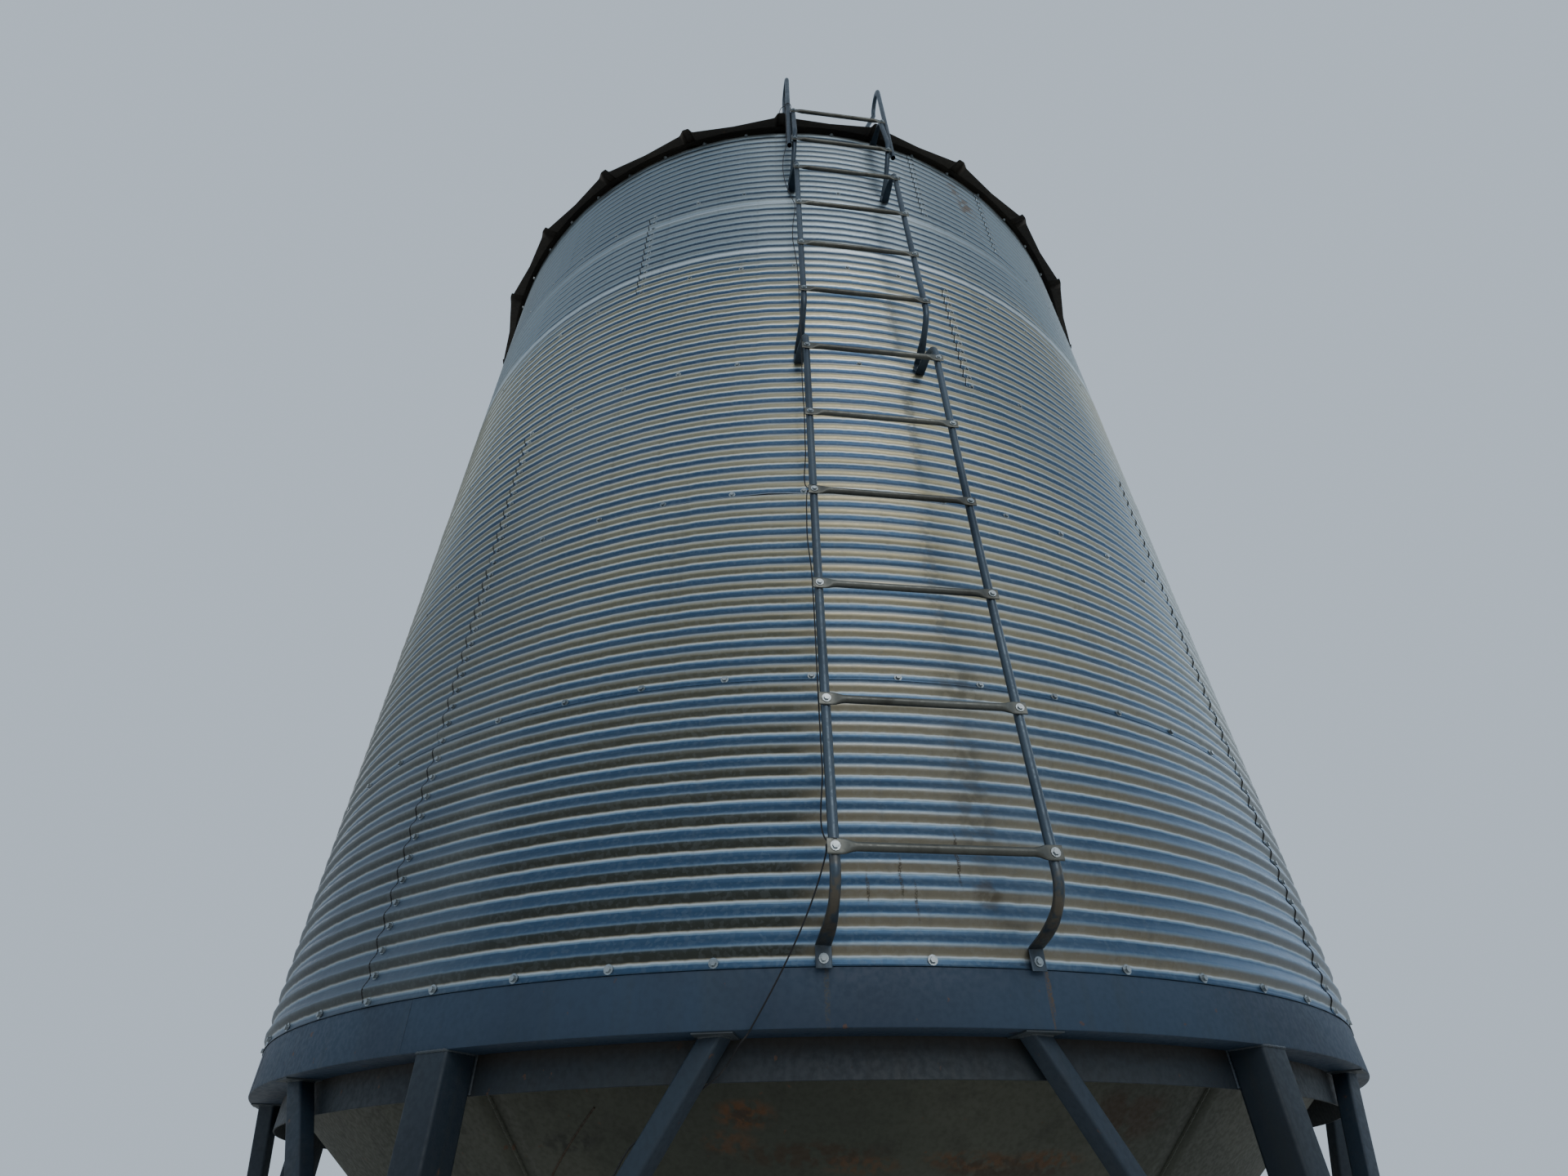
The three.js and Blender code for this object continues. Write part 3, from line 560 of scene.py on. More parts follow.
def thicken(sheet, thickness):
    """Sheet thickened on its inner side. Returns the modifier."""
    plate = sheet.modifiers.new("plate", "SOLIDIFY")
    plate.thickness = thickness
    plate.offset = -1
    return plate


CONE_RUST = (84, 56, 30)
CONE_DIRT = (52, 40, 26)
cone_stains = [
    stain_at(angle, radius, cone_height(radius), half_sizes, tone, strength)
    for angle, radius, half_sizes, tone, strength in (
        (18.6, 1.800, (0.17, 0.10, 0.10), CONE_DIRT, 0.9),
        (-12.9, 1.805, (0.085, 0.055, 0.045), CONE_RUST, 1.0),
        (-14.2, 1.745, (0.080, 0.045, 0.040), CONE_RUST, 0.6),
        (-12.9, 1.800, (0.050, 0.045, 0.024), CONE_DIRT, 0.9),
        (-8.0, 1.715, (0.220, 0.050, 0.040), CONE_DIRT, 0.8),
        (-3.8, 1.690, (0.110, 0.035, 0.030), CONE_RUST, 0.6),
        (5.5, 1.695, (0.150, 0.040, 0.035), CONE_RUST, 0.8),
        (9.0, 1.680, (0.260, 0.045, 0.040), CONE_DIRT, 0.8),
        (12.5, 1.700, (0.120, 0.035, 0.032), CONE_RUST, 0.7),
        (-27.6, 1.760, (0.11, 0.035, 0.05), (28, 28, 26), 0.6),
    )
]
cone_paint = painted_steel("cone_paint", (52, 56, 47), (69, 71, 61), (34, 32, 26), cone_stains)
gore_radii = np.linspace(OUTLET_RADIUS, CONE_TOP_RADIUS, 24)
gore_edge = np.degrees(GAP / gore_radii)[:, None]
gore_spread = np.linspace(-1, 1, 33)[None] * (BAY_ANGLE / 2 - gore_edge)
for number, angle in enumerate(LEG_ANGLES + BAY_ANGLE / 2, 1):
    gore = shell(around(angle + gore_spread, gore_radii[:, None], cone_height(gore_radii)[:, None]),
                 close_columns=False)
    plate = steel_piece(f"cone_plate_{number}", [gore], cone_paint, [f"cone_gore_{number}"],
                        sheet=True)
    thicken(plate, CONE_PLATE)
seam_radii = np.linspace(OUTLET_RADIUS + SEAM_END, CONE_TOP_RADIUS - SEAM_END, 240)
cone_beads = []
for angle in LEG_ANGLES:
    away = direction(angle) * math.sin(CONE_SLOPE) - UP * math.cos(CONE_SLOPE)
    seam = around(angle, seam_radii, cone_height(seam_radii))
    cone_beads.append(weld_bead(seam, away, False, SEAM_BEAD))
steel_piece("cone_welds", cone_beads, cone_paint)
mark_radii = np.linspace(*MARK_RADII, 60)
mark = around(np.linspace(*MARK_ANGLES, 60), mark_radii, cone_height(mark_radii))
mark_bead = weld_bead(mark, direction(MARK_OUTWARD), False, MARK_BEAD)
mark_paint = painted_steel("mark_paint", (38, 32, 25), (66, 50, 33), (22, 20, 17))
steel_piece("cone_mark", [mark_bead], mark_paint)


# Outlet: a short flanged collar under the cone, closed by a flat galvanised gate that slides in a frame.
# The photograph stops above it, so it is kept plain.
def bare_steel(name, steel, pale, dirt, rough=0.4, stains=()):
    """Galvanised steel: pale patches, 10 mm spangle crystals, vertical streaks and dirt, with the given
    stains."""
    material, shader, where = new_material(name)
    broad = grain(where, 2.3, 3.0)
    streaks = grain(where, 1.0, 6.0, (26.0, 26.0, 1.3))
    fine = grain(where, 120.0, 5.0)
    crystal = spangle(where, 95.0)
    shade = layered(steel, [
        (share(broad, 0.35, 0.65), pale),
        (share(crystal, 0.2, 0.9, 0.16), pale),
        (share(streaks, 0.5, 0.75, 0.4), dirt),
        (share(fine, 0.5, 0.8, 0.2), dirt),
    ])
    join(shader, {
        "Base Color": stained(where, shade, stains),
        "Metallic": 0.75,
        "Roughness": sum_of(share(crystal, 0.0, 1.0, 0.14), rough),
        "Normal": relief(fine, 0.1, 0.0006),
    })
    return material


outlet_steel = bare_steel("outlet_steel", (150, 156, 160), (178, 184, 188), (98, 92, 82))
paint_solid("outlet_collar", cone_paint)
paint_solid("outlet_gate", outlet_steel)
paint_solid("gate_frame", outlet_steel)


# Wall: six rings of roll-formed, hot-dip galvanised sheets. The corrugations run round the bin, and each
# sheet laps over the sheet below and over the sheet on its left, with a bolt in every valley of a lap and
# a thin black strip along its edge. The sheets' colour carries painted reflections, highlights and shade.
BOLTS_ROUND = 52
BOLT_SPACING = 360 / BOLTS_ROUND
RINGS = 6
RING_BASE = 2.0
RING_HEIGHT = 0.762
WALL_TOP = RING_BASE + RINGS * RING_HEIGHT
TOP_ROW_DROP = 0.031
CREST = 2.1021
CORRUGATION = 0.0635
CORRUGATIONS = 12
CORRUGATION_HALF_DEPTH = 0.00635
SHEET_LAP = 0.0127
SHEET_THICKNESS = 0.0012
LAP_LIFT = 0.0014
LEFT_LAP_EASE = (0.05, 0.11)
LOWER_LAP_EASE = (0.015, 0.06)
LEFT_EDGE = 0.028
LEFT_COLUMNS = np.array([0, 0.006, 0.03, 0.052, 0.08, 0.11])
FIRST_STEADY_ANGLE = 3.5
RIGHT_END = 0.020
ROWS_PER_CORRUGATION = 8
EDGE_STRIP_WIDTH = 0.0020
EDGE_STRIP_LIFT = 0.0012
EDGE_STRIP_END = 0.004
# Lower laps that gape: the ring counted from 0, the gape's middle in bolt spacings from the ladder, and
# how far it opens.
OPEN_LAPS = ((2, -1.5, 0.0045), (5, 3.5, 0.004), (5, 4.5, 0.004))
GAPE_HALF_SPACINGS = 0.5
GAPE_EASE = (-0.010, 0.010)
# Upright laps of each ring, in bolt spacings from the ladder.
SHEET_SEAMS = 3 * ((-6, 6, 18, 22, 34),) + (
    (2, 14, 18, 30, 42), (-4, 8, 20, 24, 36), (2, 4, 16, 28, 40, 42))
BOLT_SEAT = 0.0022
BOLT_SIDES = 12
WASHER_RADIUS = 0.0118
WASHER_THICKNESS = 0.0022
HEAD_RADIUS = 0.0076
HEAD_RISE = 0.0066
HEAD_TOP_SHARE = 0.94
WALL_STAINS_AND_RAIL_SHADE = [stain_at(*row) for row in (
    (23.4, 2.10, 6.197, (0.09, 0.06, 0.13), (104, 86, 66), 0.7),
    (21.8, 2.10, 6.377, (0.07, 0.06, 0.10), (104, 86, 66), 0.6),
    (-1.5, 2.10, 2.19, (0.006, 0.05, 0.07), (64, 58, 48), 0.8),
    (-0.6, 2.10, 2.13, (0.005, 0.05, 0.06), (64, 58, 48), 0.8),
    (2.6, 2.10, 2.24, (0.006, 0.05, 0.09), (60, 54, 46), 0.9),
    (-3.8, 2.10, 2.16, (0.005, 0.05, 0.05), (64, 58, 48), 0.8),
    (4.4, 2.10, 2.15, (0.05, 0.05, 0.05), (72, 62, 48), 0.5),
    # From here on: grey smudges between the rails, a painted soft shade of the ladder's right rail on the
    # wall.
    (4.3, 2.10, 2.42, (0.07, 0.06, 0.28), (80, 80, 76), 0.4),
    (5.2, 2.10, 2.74, (0.10, 0.06, 0.09), (76, 72, 62), 0.4),
    (4.3, 2.10, 3.15, (0.035, 0.05, 0.40), (84, 88, 88), 0.4),
    (4.9, 2.10, 3.95, (0.030, 0.05, 0.45), (84, 90, 92), 0.45),
    (4.8, 2.10, 4.65, (0.035, 0.05, 0.35), (84, 92, 96), 0.45),
)]


def wall_radius(height):
    """Radius of the corrugated sheet at a height: a cosine wave with a valley at every bolt row."""
    phase = 2 * np.pi * (height - RING_BASE) / CORRUGATION
    return CREST - CORRUGATION_HALF_DEPTH * (1 + np.cos(phase))


def taper(distance, full, end):
    """Share that is 1 up to a distance and falls smoothly to 0 at its end."""
    fall = np.clip((distance - full) / (end - full), 0, 1)
    return 1 - fall * fall * (3 - 2 * fall)


def wall_sheet(ring, first, last):
    """Corrugated sheet from one upright lap to the next, lifted along its left and lower edges, and
    more where its lower lap gapes."""
    base = RING_BASE + ring * RING_HEIGHT
    top = WALL_TOP if ring == RINGS - 1 else base + RING_HEIGHT + SHEET_LAP
    rows = int(round((top - base + SHEET_LAP) / CORRUGATION * ROWS_PER_CORRUGATION))
    height = np.linspace(base - SHEET_LAP, top, rows + 1)[:, None]
    start, end = first * BOLT_SPACING, last * BOLT_SPACING
    left = start - math.degrees(LEFT_EDGE / CREST)
    right = end + math.degrees(RIGHT_END / CREST)
    steady = np.arange(start + FIRST_STEADY_ANGLE, end + 0.1, BOLT_SPACING / 2)
    angle = np.concatenate([left + np.degrees(LEFT_COLUMNS / CREST), steady, [right]])[None]
    from_left = np.radians(angle - left) * CREST
    lift = LAP_LIFT * taper(from_left, *LEFT_LAP_EASE)
    if ring:
        lift = lift + LAP_LIFT * taper(height - base, *LOWER_LAP_EASE)
    for open_ring, middle, gape in OPEN_LAPS:
        if open_ring == ring:
            away = abs(angle / BOLT_SPACING - middle)
            lift = lift + gape * taper(away, 0, GAPE_HALF_SPACINGS) * taper(height - base, *GAPE_EASE)
    return shell(around(angle, wall_radius(height) + lift, height), close_columns=False)


def hoops(place, stops):
    """Colour by place from 0 to 1, from stops of (place, red, green, blue) in order."""
    made = add_node("ValToRGB", {0: place})
    elements = made.color_ramp.elements
    for element, (position, *tone) in zip(elements, (stops[0], stops[-1])):
        element.position = position
        element.color = colour(*tone)
    for position, *tone in stops[1:-1]:
        elements.new(position).color = colour(*tone)
    return made.outputs[0]


def wall_steel_and_reflections(name):
    """Galvanised corrugated sheet. Its colour goes by the place in each corrugation, from 0 in the valley
    over the flank that faces down and the crest at a half to the flank that faces up. The palettes are
    painted reflections of ground and sky with a painted highlight line: earth-brown low on the wall, pale
    higher up and grey under the eave, with a darker painted reflection left of the ladder. The place shifts
    a little with the height; painted shade darkens the far left and the top ring's left, painted sky
    reflection makes the right bluer, and two painted highlight lines run round high up. Pale patches, dirt
    streaks, spangle and fine dirt are the sheet's own."""
    material, shader, where = new_material(name)
    across, _, height = add_node("SeparateXYZ", {0: where}).outputs
    blotches = grain(where, 1.1, 4.0, (1.0, 1.0, 0.6))
    streaks = grain(where, 1.0, 6.0, (34.0, 34.0, 1.1))
    fine = grain(where, 130.0, 5.0)
    crystal = spangle(where, 110.0)
    uneven = scaled(streaks, 0.06, -RING_BASE / CORRUGATION - 0.03)
    turns = scaled(height, 1 / CORRUGATION, uneven)
    higher = sum_of(turns, share(height, 2.3, 3.9, 0.14), "SUBTRACT")
    place = sum_of(higher, 0.0, "FRACT")
    # Palettes for the low wall, the middle and the top, by place in the corrugation: painted reflections of
    # the ground (brown) and the sky (blue and pale), each with a painted highlight line near 0.11.
    low = hoops(place, (
        (0.00, 70, 98, 126), (0.07, 136, 160, 178), (0.11, 204, 216, 226), (0.16, 146, 141, 126),
        (0.23, 122, 117, 103), (0.40, 112, 107, 95), (0.48, 110, 120, 126), (0.55, 88, 108, 126),
        (0.62, 56, 80, 106), (0.94, 56, 84, 112), (1.00, 70, 98, 126)))
    middle = hoops(place, (
        (0.00, 50, 72, 97), (0.06, 92, 118, 142), (0.11, 228, 236, 236), (0.16, 160, 153, 128),
        (0.34, 148, 141, 114), (0.46, 184, 181, 166), (0.62, 190, 194, 194), (0.74, 134, 143, 154),
        (0.86, 52, 72, 96), (1.00, 50, 72, 97)))
    high = hoops(place, (
        (0.00, 42, 56, 74), (0.05, 108, 128, 142), (0.11, 142, 158, 168), (0.18, 126, 135, 140),
        (0.36, 126, 133, 133), (0.48, 97, 113, 127), (0.74, 72, 92, 112), (0.86, 50, 67, 84),
        (1.00, 42, 56, 74)))
    # Left of the ladder, the down-facing flanks take a darker painted reflection.
    left = share(across, -0.22, -0.34)
    reflection_tones = []
    for tones, end, left_reflection, strength in ((low, 0.54, (44, 51, 50), 0.9), (middle, 0.38, (84, 90, 86), 0.5)):
        rise = share(place, 0.15, 0.20, strength)
        flank = product(rise, share(place, end, end - 0.07))
        reflection_tones.append(over(product(flank, left), tones, left_reflection))
    rightward = scaled(across, 0.9, height)
    wander = scaled(blotches, 0.8, height)
    low_or_right_reflection = sum_of(share(height, 3.9, 3.2), share(rightward, 4.3, 4.75), "MAXIMUM")
    upper_left_shade = product(share(height, 5.70, 5.75), share(across, 1.1, 0.4, 0.16))
    far_left_shade = product(share(across, -0.8, -1.5), share(height, 4.6, 3.2, 0.42))
    right = product(share(across, 0.5, 1.3), share(height, 5.4, 4.0, 0.3))
    # Painted light laid in turn: the middle and top palettes, a dark blue painted sky reflection on the
    # up-facing flanks low down and towards the right, a bluer one up to the right, painted shade at the top
    # ring's left and at the far left, and a blue painted sky reflection at the right.
    layers = [
        (share(wander, 2.5, 4.1), reflection_tones[1]),
        (product(share(place, 0.56, 0.68, 0.85), low_or_right_reflection), (52, 75, 98)),
        (share(rightward, 4.3, 4.75, 0.22), (64, 84, 102)),
        (share(wander, 5.35, 5.75), high),
        (upper_left_shade, (36, 50, 62)),
        (far_left_shade, (34, 48, 60)),
        (right, (62, 100, 136)),
    ]
    # Two painted highlight lines round the wall, high up.
    for line_height, half_width in ((5.685, 0.016), (5.195, 0.014)):
        rise = share(height, line_height - half_width, line_height)
        fall = share(height, line_height + half_width, line_height, 0.7)
        layers.append((product(rise, fall), (200, 212, 220)))
    # The sheet's own pale patches, dirt streaks, spangle and fine dirt.
    layers += [
        (share(blotches, 0.5, 0.72, 0.14), (150, 158, 162)),
        (share(streaks, 0.52, 0.8, 0.22), (76, 80, 82)),
        (share(crystal, 0.4, 1.0, 0.05), (180, 192, 200)),
        (share(fine, 0.5, 0.8, 0.10), (60, 64, 66)),
    ]
    join(shader, {
        "Base Color": stained(where, layered(reflection_tones[0], layers), WALL_STAINS_AND_RAIL_SHADE),
        "Metallic": 0.7,
        "Roughness": sum_of(share(crystal, 0.0, 1.0, 0.07), 0.4),
        "Normal": relief(fine, 0.08, 0.0005),
    })
    return material


def bolts(places, outwards, washer=WASHER_RADIUS, rise=HEAD_RISE):
    """Hexagonal bolt heads on washers: four rings of twelve points each, the washer's two and the head's
    two, set on their places along their outward directions and capped at both ends. Every other point of
    a head lies at a corner, and the rest at the corner's radius times the cosine of half a side's turn."""
    point = np.arange(BOLT_SIDES)
    turn = 2 * np.pi * point / BOLT_SIDES
    head = HEAD_RADIUS * np.cos((point % 2) * np.pi / 6)
    radii = np.stack([washer + 0 * turn, washer + 0 * turn, head, head * HEAD_TOP_SHARE])
    heights = np.array([0.0, WASHER_THICKNESS, WASHER_THICKNESS, WASHER_THICKNESS + rise])
    sideways = np.cross(UP, outwards)
    upward = np.cross(outwards, sideways)
    spokes = np.cos(turn)[:, None, None] * sideways + np.sin(turn)[:, None, None] * upward
    lifts = heights[:, None, None, None] * outwards
    points = np.moveaxis(places + radii[..., None, None] * spokes + lifts, 2, 0)
    _, quads, caps = shell(points[0], cap_ends=True)
    starts = np.arange(len(places)) * points[0, ..., 0].size
    all_quads = (starts[:, None, None] + quads).reshape(-1, 4)
    all_caps = [[corner + int(start) for corner in cap] for start in starts for cap in caps]
    return points.reshape(-1, 3), all_quads, all_caps


# Sheet colour with painted reflections, highlights and shade.
sheet_steel_and_reflections = wall_steel_and_reflections("sheet_steel_and_reflections")
bolt_steel = bare_steel("bolt_steel", (116, 126, 132), (156, 164, 168), (40, 40, 39), rough=0.3)
new_zinc = bare_steel("new_zinc", (126, 136, 142), (164, 172, 176), (56, 58, 60), rough=0.28)
# Near-black for the thin strips along the upright lap edges.
lap_edge_black = painted_steel("lap_edge_black", (24, 24, 25), (40, 40, 40), (60, 56, 50), rough=0.8)
lap_places, lap_ways, lap_edge_strips = [], [], []
for ring, seams in enumerate(SHEET_SEAMS):
    base = RING_BASE + ring * RING_HEIGHT
    for number, (first, last) in enumerate(zip(seams, seams[1:] + (seams[0] + BOLTS_ROUND,)), 1):
        name = f"ring_{ring + 1}_sheet_{number}"
        sheet = steel_piece(name, [wall_sheet(ring, first, last)], sheet_steel_and_reflections,
                            [f"wall_ring_{ring + 1}"], sheet=True, crease=60)
        thicken(sheet, SHEET_THICKNESS)
    valleys = base + CORRUGATION * np.arange(1, CORRUGATIONS)
    edge_heights = np.linspace(base, base + RING_HEIGHT - EDGE_STRIP_END, CORRUGATIONS * ROWS_PER_CORRUGATION + 1)
    for seam in seams:
        seam_angle = seam * BOLT_SPACING
        lap_places.append(around(seam_angle, wall_radius(valleys) + BOLT_SEAT, valleys))
        lap_ways.append(np.broadcast_to(direction(seam_angle), (len(valleys), 3)))
        angle = seam_angle - math.degrees((LEFT_EDGE + EDGE_STRIP_WIDTH / 2) / CREST)
        edge = around(angle, wall_radius(edge_heights) + EDGE_STRIP_LIFT, edge_heights)
        lap_edge_strips.append(carried(edge, along_wall(angle), EDGE_STRIP_WIDTH, EDGE_STRIP_WIDTH / 2, sides=4))
round_angles = np.arange(BOLTS_ROUND) * BOLT_SPACING
for row in range(RINGS + 1):
    row_height = RING_BASE + row * RING_HEIGHT - (TOP_ROW_DROP if row == RINGS else 0)
    seat = wall_radius(row_height) + BOLT_SEAT
    finish = bolt_steel if row else new_zinc
    row_bolts = bolts(around(round_angles, seat, row_height), direction(round_angles))
    steel_piece(f"bolt_row_{row + 1}", [row_bolts], finish)
lap_bolts = bolts(np.concatenate(lap_places), np.concatenate(lap_ways))
steel_piece("lap_bolts", [lap_bolts], bolt_steel)
steel_piece("lap_edge_strips", lap_edge_strips, lap_edge_black)


# Roof: 24 galvanised panels with a raised rib at every joint, lapped from the peak collar to the eave.
# The ribs stand out past the panels, each is plugged at the wall, and a strip closes the eave. The strip,
# the plugs and the panels' undersides and edges are painted dark brown: painted shade under the eave, with
# brown dust.
ROOF_PANELS = 24
FIRST_RIB_ANGLE = -8.11
ROOF_SLOPE = math.radians(30)
EAVE_HEIGHT = WALL_TOP + 0.0064
PANEL_OVERHANG = 0.062
PANEL_THICKNESS = 0.001
PEAK_RADIUS = 0.38
PEAK_CLEARANCE = 0.0012
STRIP_REACH = (0.0014, 0.028)
STRIP_TOP_DROP = 0.0034
STRIP_BOTTOM_DROPS = (0.0075, 0.0065)
PLUG_OUTLINE = np.array([[-0.031, 0.0], [-0.0165, 0.033], [0.0165, 0.033], [0.031, 0.0]])
PLUG_REACH = 0.010
PLUG_THICKNESS = 0.006
# Left half of a rib's section: the way across, the height over the panel and the reach past the wall.
RIB_HALF = np.array([
    [-0.046, 0.000, 0.088], [-0.040, 0.0015, 0.090], [-0.036, 0.006, 0.0915],
    [-0.0215, 0.0335, 0.101], [-0.0185, 0.0380, 0.102], [-0.013, 0.040, 0.103],
])
RIB_OUTLINE = np.concatenate([RIB_HALF, (RIB_HALF * [-1, 1, 1])[::-1]])


def panel_height(radius):
    """Height of the panels' upper face at a radius."""
    return EAVE_HEIGHT + (CREST - radius) * math.tan(ROOF_SLOPE)


roof_steel = bare_steel("roof_steel", (132, 141, 149), (156, 165, 172), (86, 83, 76))
rib_angles = FIRST_RIB_ANGLE + np.arange(ROOF_PANELS) * 360 / ROOF_PANELS
offsets = np.concatenate([RIB_OUTLINE, [[0, 0, PANEL_OVERHANG]]])
half_panel = np.concatenate([np.zeros(len(RIB_OUTLINE)), [180 / ROOF_PANELS]])
inner = np.full(len(offsets), PEAK_RADIUS + PEAK_CLEARANCE)
outer = CREST + offsets[:, 2]
slope_share = np.linspace(0, 1, 9)[:, None, None]
roof_radii = (inner + (outer - inner) * slope_share) * np.ones((1, ROOF_PANELS, 1))
roof_angles = (rib_angles[:, None] + half_panel) + np.degrees(offsets[:, 0] / roof_radii)
roof_points = around(roof_angles, roof_radii, panel_height(roof_radii) + offsets[:, 1])
roof_grid = roof_points.reshape(len(slope_share), -1, 3)[::-1]
roof = steel_piece("roof_panels", [shell(roof_grid)], roof_steel, ["roof_sheet"],
                   sheet=True)
# Dark brown: painted shade under the eave, with brown dust.
eave_shade_and_dust = painted_steel("eave_shade_and_dust", (34, 31, 27), (50, 46, 39), (24, 22, 20))
roof.data.materials.append(eave_shade_and_dust)
panel = thicken(roof, PANEL_THICKNESS)
panel.material_offset = 1
panel.material_offset_rim = 1
strip_radii = CREST + np.array(STRIP_REACH)
strip_bottom = np.column_stack([strip_radii, panel_height(strip_radii) - STRIP_BOTTOM_DROPS])
strip_top = np.column_stack([strip_radii, panel_height(strip_radii) - STRIP_TOP_DROP])
eave_strip = turned(np.concatenate([strip_bottom, strip_top[::-1]]))
steel_piece("eave_strip", [eave_strip], eave_shade_and_dust)
plugs = []
for angle in rib_angles:
    seat = around(angle, CREST + PLUG_REACH, panel_height(CREST + PLUG_REACH))
    outline = seat + PLUG_OUTLINE[:, :1] * along_wall(angle) + PLUG_OUTLINE[:, 1:] * UP
    plugs.append(slab(outline[::-1], direction(angle) * PLUG_THICKNESS))
steel_piece("rib_plugs", plugs, eave_shade_and_dust)


# Peak: a rolled collar with a shallow lid over it. Both are guessed from the roof's shape, because the
# photograph is taken from below the eave.
PEAK_PLATE = 0.004
PEAK_BELOW_ROOF = 0.04
PEAK_ABOVE_ROOF = 0.11
PEAK_CORNER = 0.002
LID_SLOPE = math.tan(math.radians(15))
LID_RADIUS = 0.405
LID_RIM = 0.025
LID_CORNER = 0.003
LID_MIDDLE_RADIUS = 0.008
LID_BREAK_RADIUS = 0.2
peak_bottom = panel_height(PEAK_RADIUS) - PEAK_BELOW_ROOF
peak_top = panel_height(PEAK_RADIUS) + PEAK_ABOVE_ROOF
collar = turned([
    (PEAK_RADIUS - PEAK_PLATE, peak_bottom), (PEAK_RADIUS, peak_bottom),
    (PEAK_RADIUS, peak_top - PEAK_CORNER), (PEAK_RADIUS - PEAK_CORNER, peak_top),
    (PEAK_RADIUS - PEAK_PLATE, peak_top),
])
steel_piece("peak_band", [collar], roof_steel, ["peak_collar"])
lid_inner = LID_RADIUS - PEAK_PLATE
lid_under = peak_top + GAP - (lid_inner - PEAK_RADIUS) * LID_SLOPE
lid_peak = lid_under + lid_inner * LID_SLOPE
lid_break = lid_under + PEAK_PLATE + (lid_inner - LID_BREAK_RADIUS) * LID_SLOPE
lid = turned([
    (LID_MIDDLE_RADIUS, lid_peak - PEAK_CORNER), (lid_inner, lid_under), (lid_inner, lid_under - LID_RIM),
    (LID_RADIUS, lid_under - LID_RIM), (LID_RADIUS, lid_under),
    (LID_RADIUS - LID_CORNER, lid_under + PEAK_PLATE), (LID_BREAK_RADIUS, lid_break),
    (LID_MIDDLE_RADIUS, lid_peak + PEAK_PLATE - PEAK_CORNER),
], closed=False)
steel_piece("lid_cover", [lid], roof_steel, ["fill_lid"])


# Ladder: three sections of galvanised tube rails, flattened, bent and bolted to the wall at their ends,
# with tube rungs whose flattened ends are bolted to the front of the rails.
RAIL_HALF_SPACING = 0.2535
RAIL_RADIUS = 0.0127
RAIL_ANGLE = math.degrees(math.asin(RAIL_HALF_SPACING / CREST))
TAB_PLATE = 0.005
PAD_STEPS = np.array([-0.020, -0.010, 0.0, 0.012, 0.022])
PAD_TO_BEND = ((0.001, 0.029), (0.025, 0.036))
BEND_LENGTHS = (0.015, 0.12)
RAIL_FLAT = (0.024, 0.075)
RAIL_END_CHANGE = (0.0063, 0.0102, 2.5)
RUNG_RADIUS = 0.0105
RUNG_HALF_LENGTH = 0.272
RUNG_HALF_COLUMNS = np.array([0.5, 0.75, 0.79, 0.82, 0.85, 0.88, 0.92, 0.97, 1])
RUNG_AHEAD = 0.015
RUNG_BOLT_AHEAD = 0.0025
RUNG_SPACING = RING_HEIGHT / 2
RUNG_FLAT = (-0.240, -0.206)
RUNG_END_CHANGE = (0.0075, 0.008, 3)
LADDER_BOLT_WASHER = 0.0115
LADDER_BOLT_RISE = 0.005
# Each section's name, the bolt rows of its foot and head, how many tabs lie under its foot, how far its
# bends lie over the foot and under the head, its reach at the foot, middle and head, and its first rung.
LADDER_SECTIONS = (
    ("ladder_lower", 0, 3, 0, 0.025, 0.035, (0.184, 0.164, 0.174), 0.181),
    ("ladder_middle", 3, 5, 1, 0.045, 0.030, (0.178, 0.173, 0.170), 0.190),
    ("ladder_top", 5, 6, 1, 0.150, 0.060, (0.177, 0.164, 0.152), 0.190),
)
FRONT = np.array([0.0, -1.0, 0.0])
SIDEWAYS = np.array([1.0, 0.0, 0.0])


def in_front(across, outwards, height):
    """Points in front of the wall: x is the way across, y the axis less the crest's radius less the way
    outwards, and z the height."""
    x, y, z = np.broadcast_arrays(across, AXIS_Y - CREST - outwards, height)
    return np.stack([x, y, z], axis=-1)


def bezier(controls, steps):
    """Bezier curve: each control point times its Bernstein weight, summed."""
    controls = np.asarray(controls, float)
    share_along = np.linspace(0, 1, steps)[:, None]
    last = len(controls) - 1
    order = np.arange(last + 1)
    ways = np.array([math.comb(last, int(k)) for k in order])
    return (ways * share_along ** order * (1 - share_along) ** (last - order)) @ controls


def rail_outline(foot, head, layer, rise, drop, reach):
    """Rail as [outwards, height] points: up the wall on its foot pad, out, up with a slight bow, back in
    and up the wall on its head pad."""
    wall = math.sqrt(CREST ** 2 - RAIL_HALF_SPACING ** 2) - CREST
    foot_tab = wall + GAP + layer * (TAB_PLATE + GAP) + TAB_PLATE / 2
    head_tab = wall + GAP + TAB_PLATE / 2
    low, middle, high = reach
    near, far = BEND_LENGTHS
    low_bend, high_bend = foot + rise, head - drop
    bow = 2 * middle - (low + high) / 2
    first_pad = np.column_stack([np.full(len(PAD_STEPS), foot_tab), foot + PAD_STEPS])
    last_pad = np.column_stack([np.full(len(PAD_STEPS), head_tab), head - PAD_STEPS[::-1]])
    away = [(foot_tab + out, foot + up) for out, up in PAD_TO_BEND]
    back = [(head_tab + out, head - down) for out, down in PAD_TO_BEND[::-1]]
    low_end, high_end = (low, low_bend + far), (high, high_bend - far)
    upright = bezier([low_end, (bow, (low_bend + high_bend) / 2), high_end], 40)
    return np.concatenate([
        first_pad, bezier([*away, (low, low_bend + near), low_end], 22), upright[1:-1],
        bezier([high_end, (high, high_bend - near), *back], 22), last_pad,
    ])


def flat_ended(path, wide, radius, flat, wider, thinner, squarer):
    """Round tube along a path: the share of flatness times each change makes it wider, thinner and
    squarer in section."""
    boxy = 2 + flat * squarer
    return carried(path, wide, radius + flat * wider, radius - flat * thinner, sides=16, boxy=boxy)
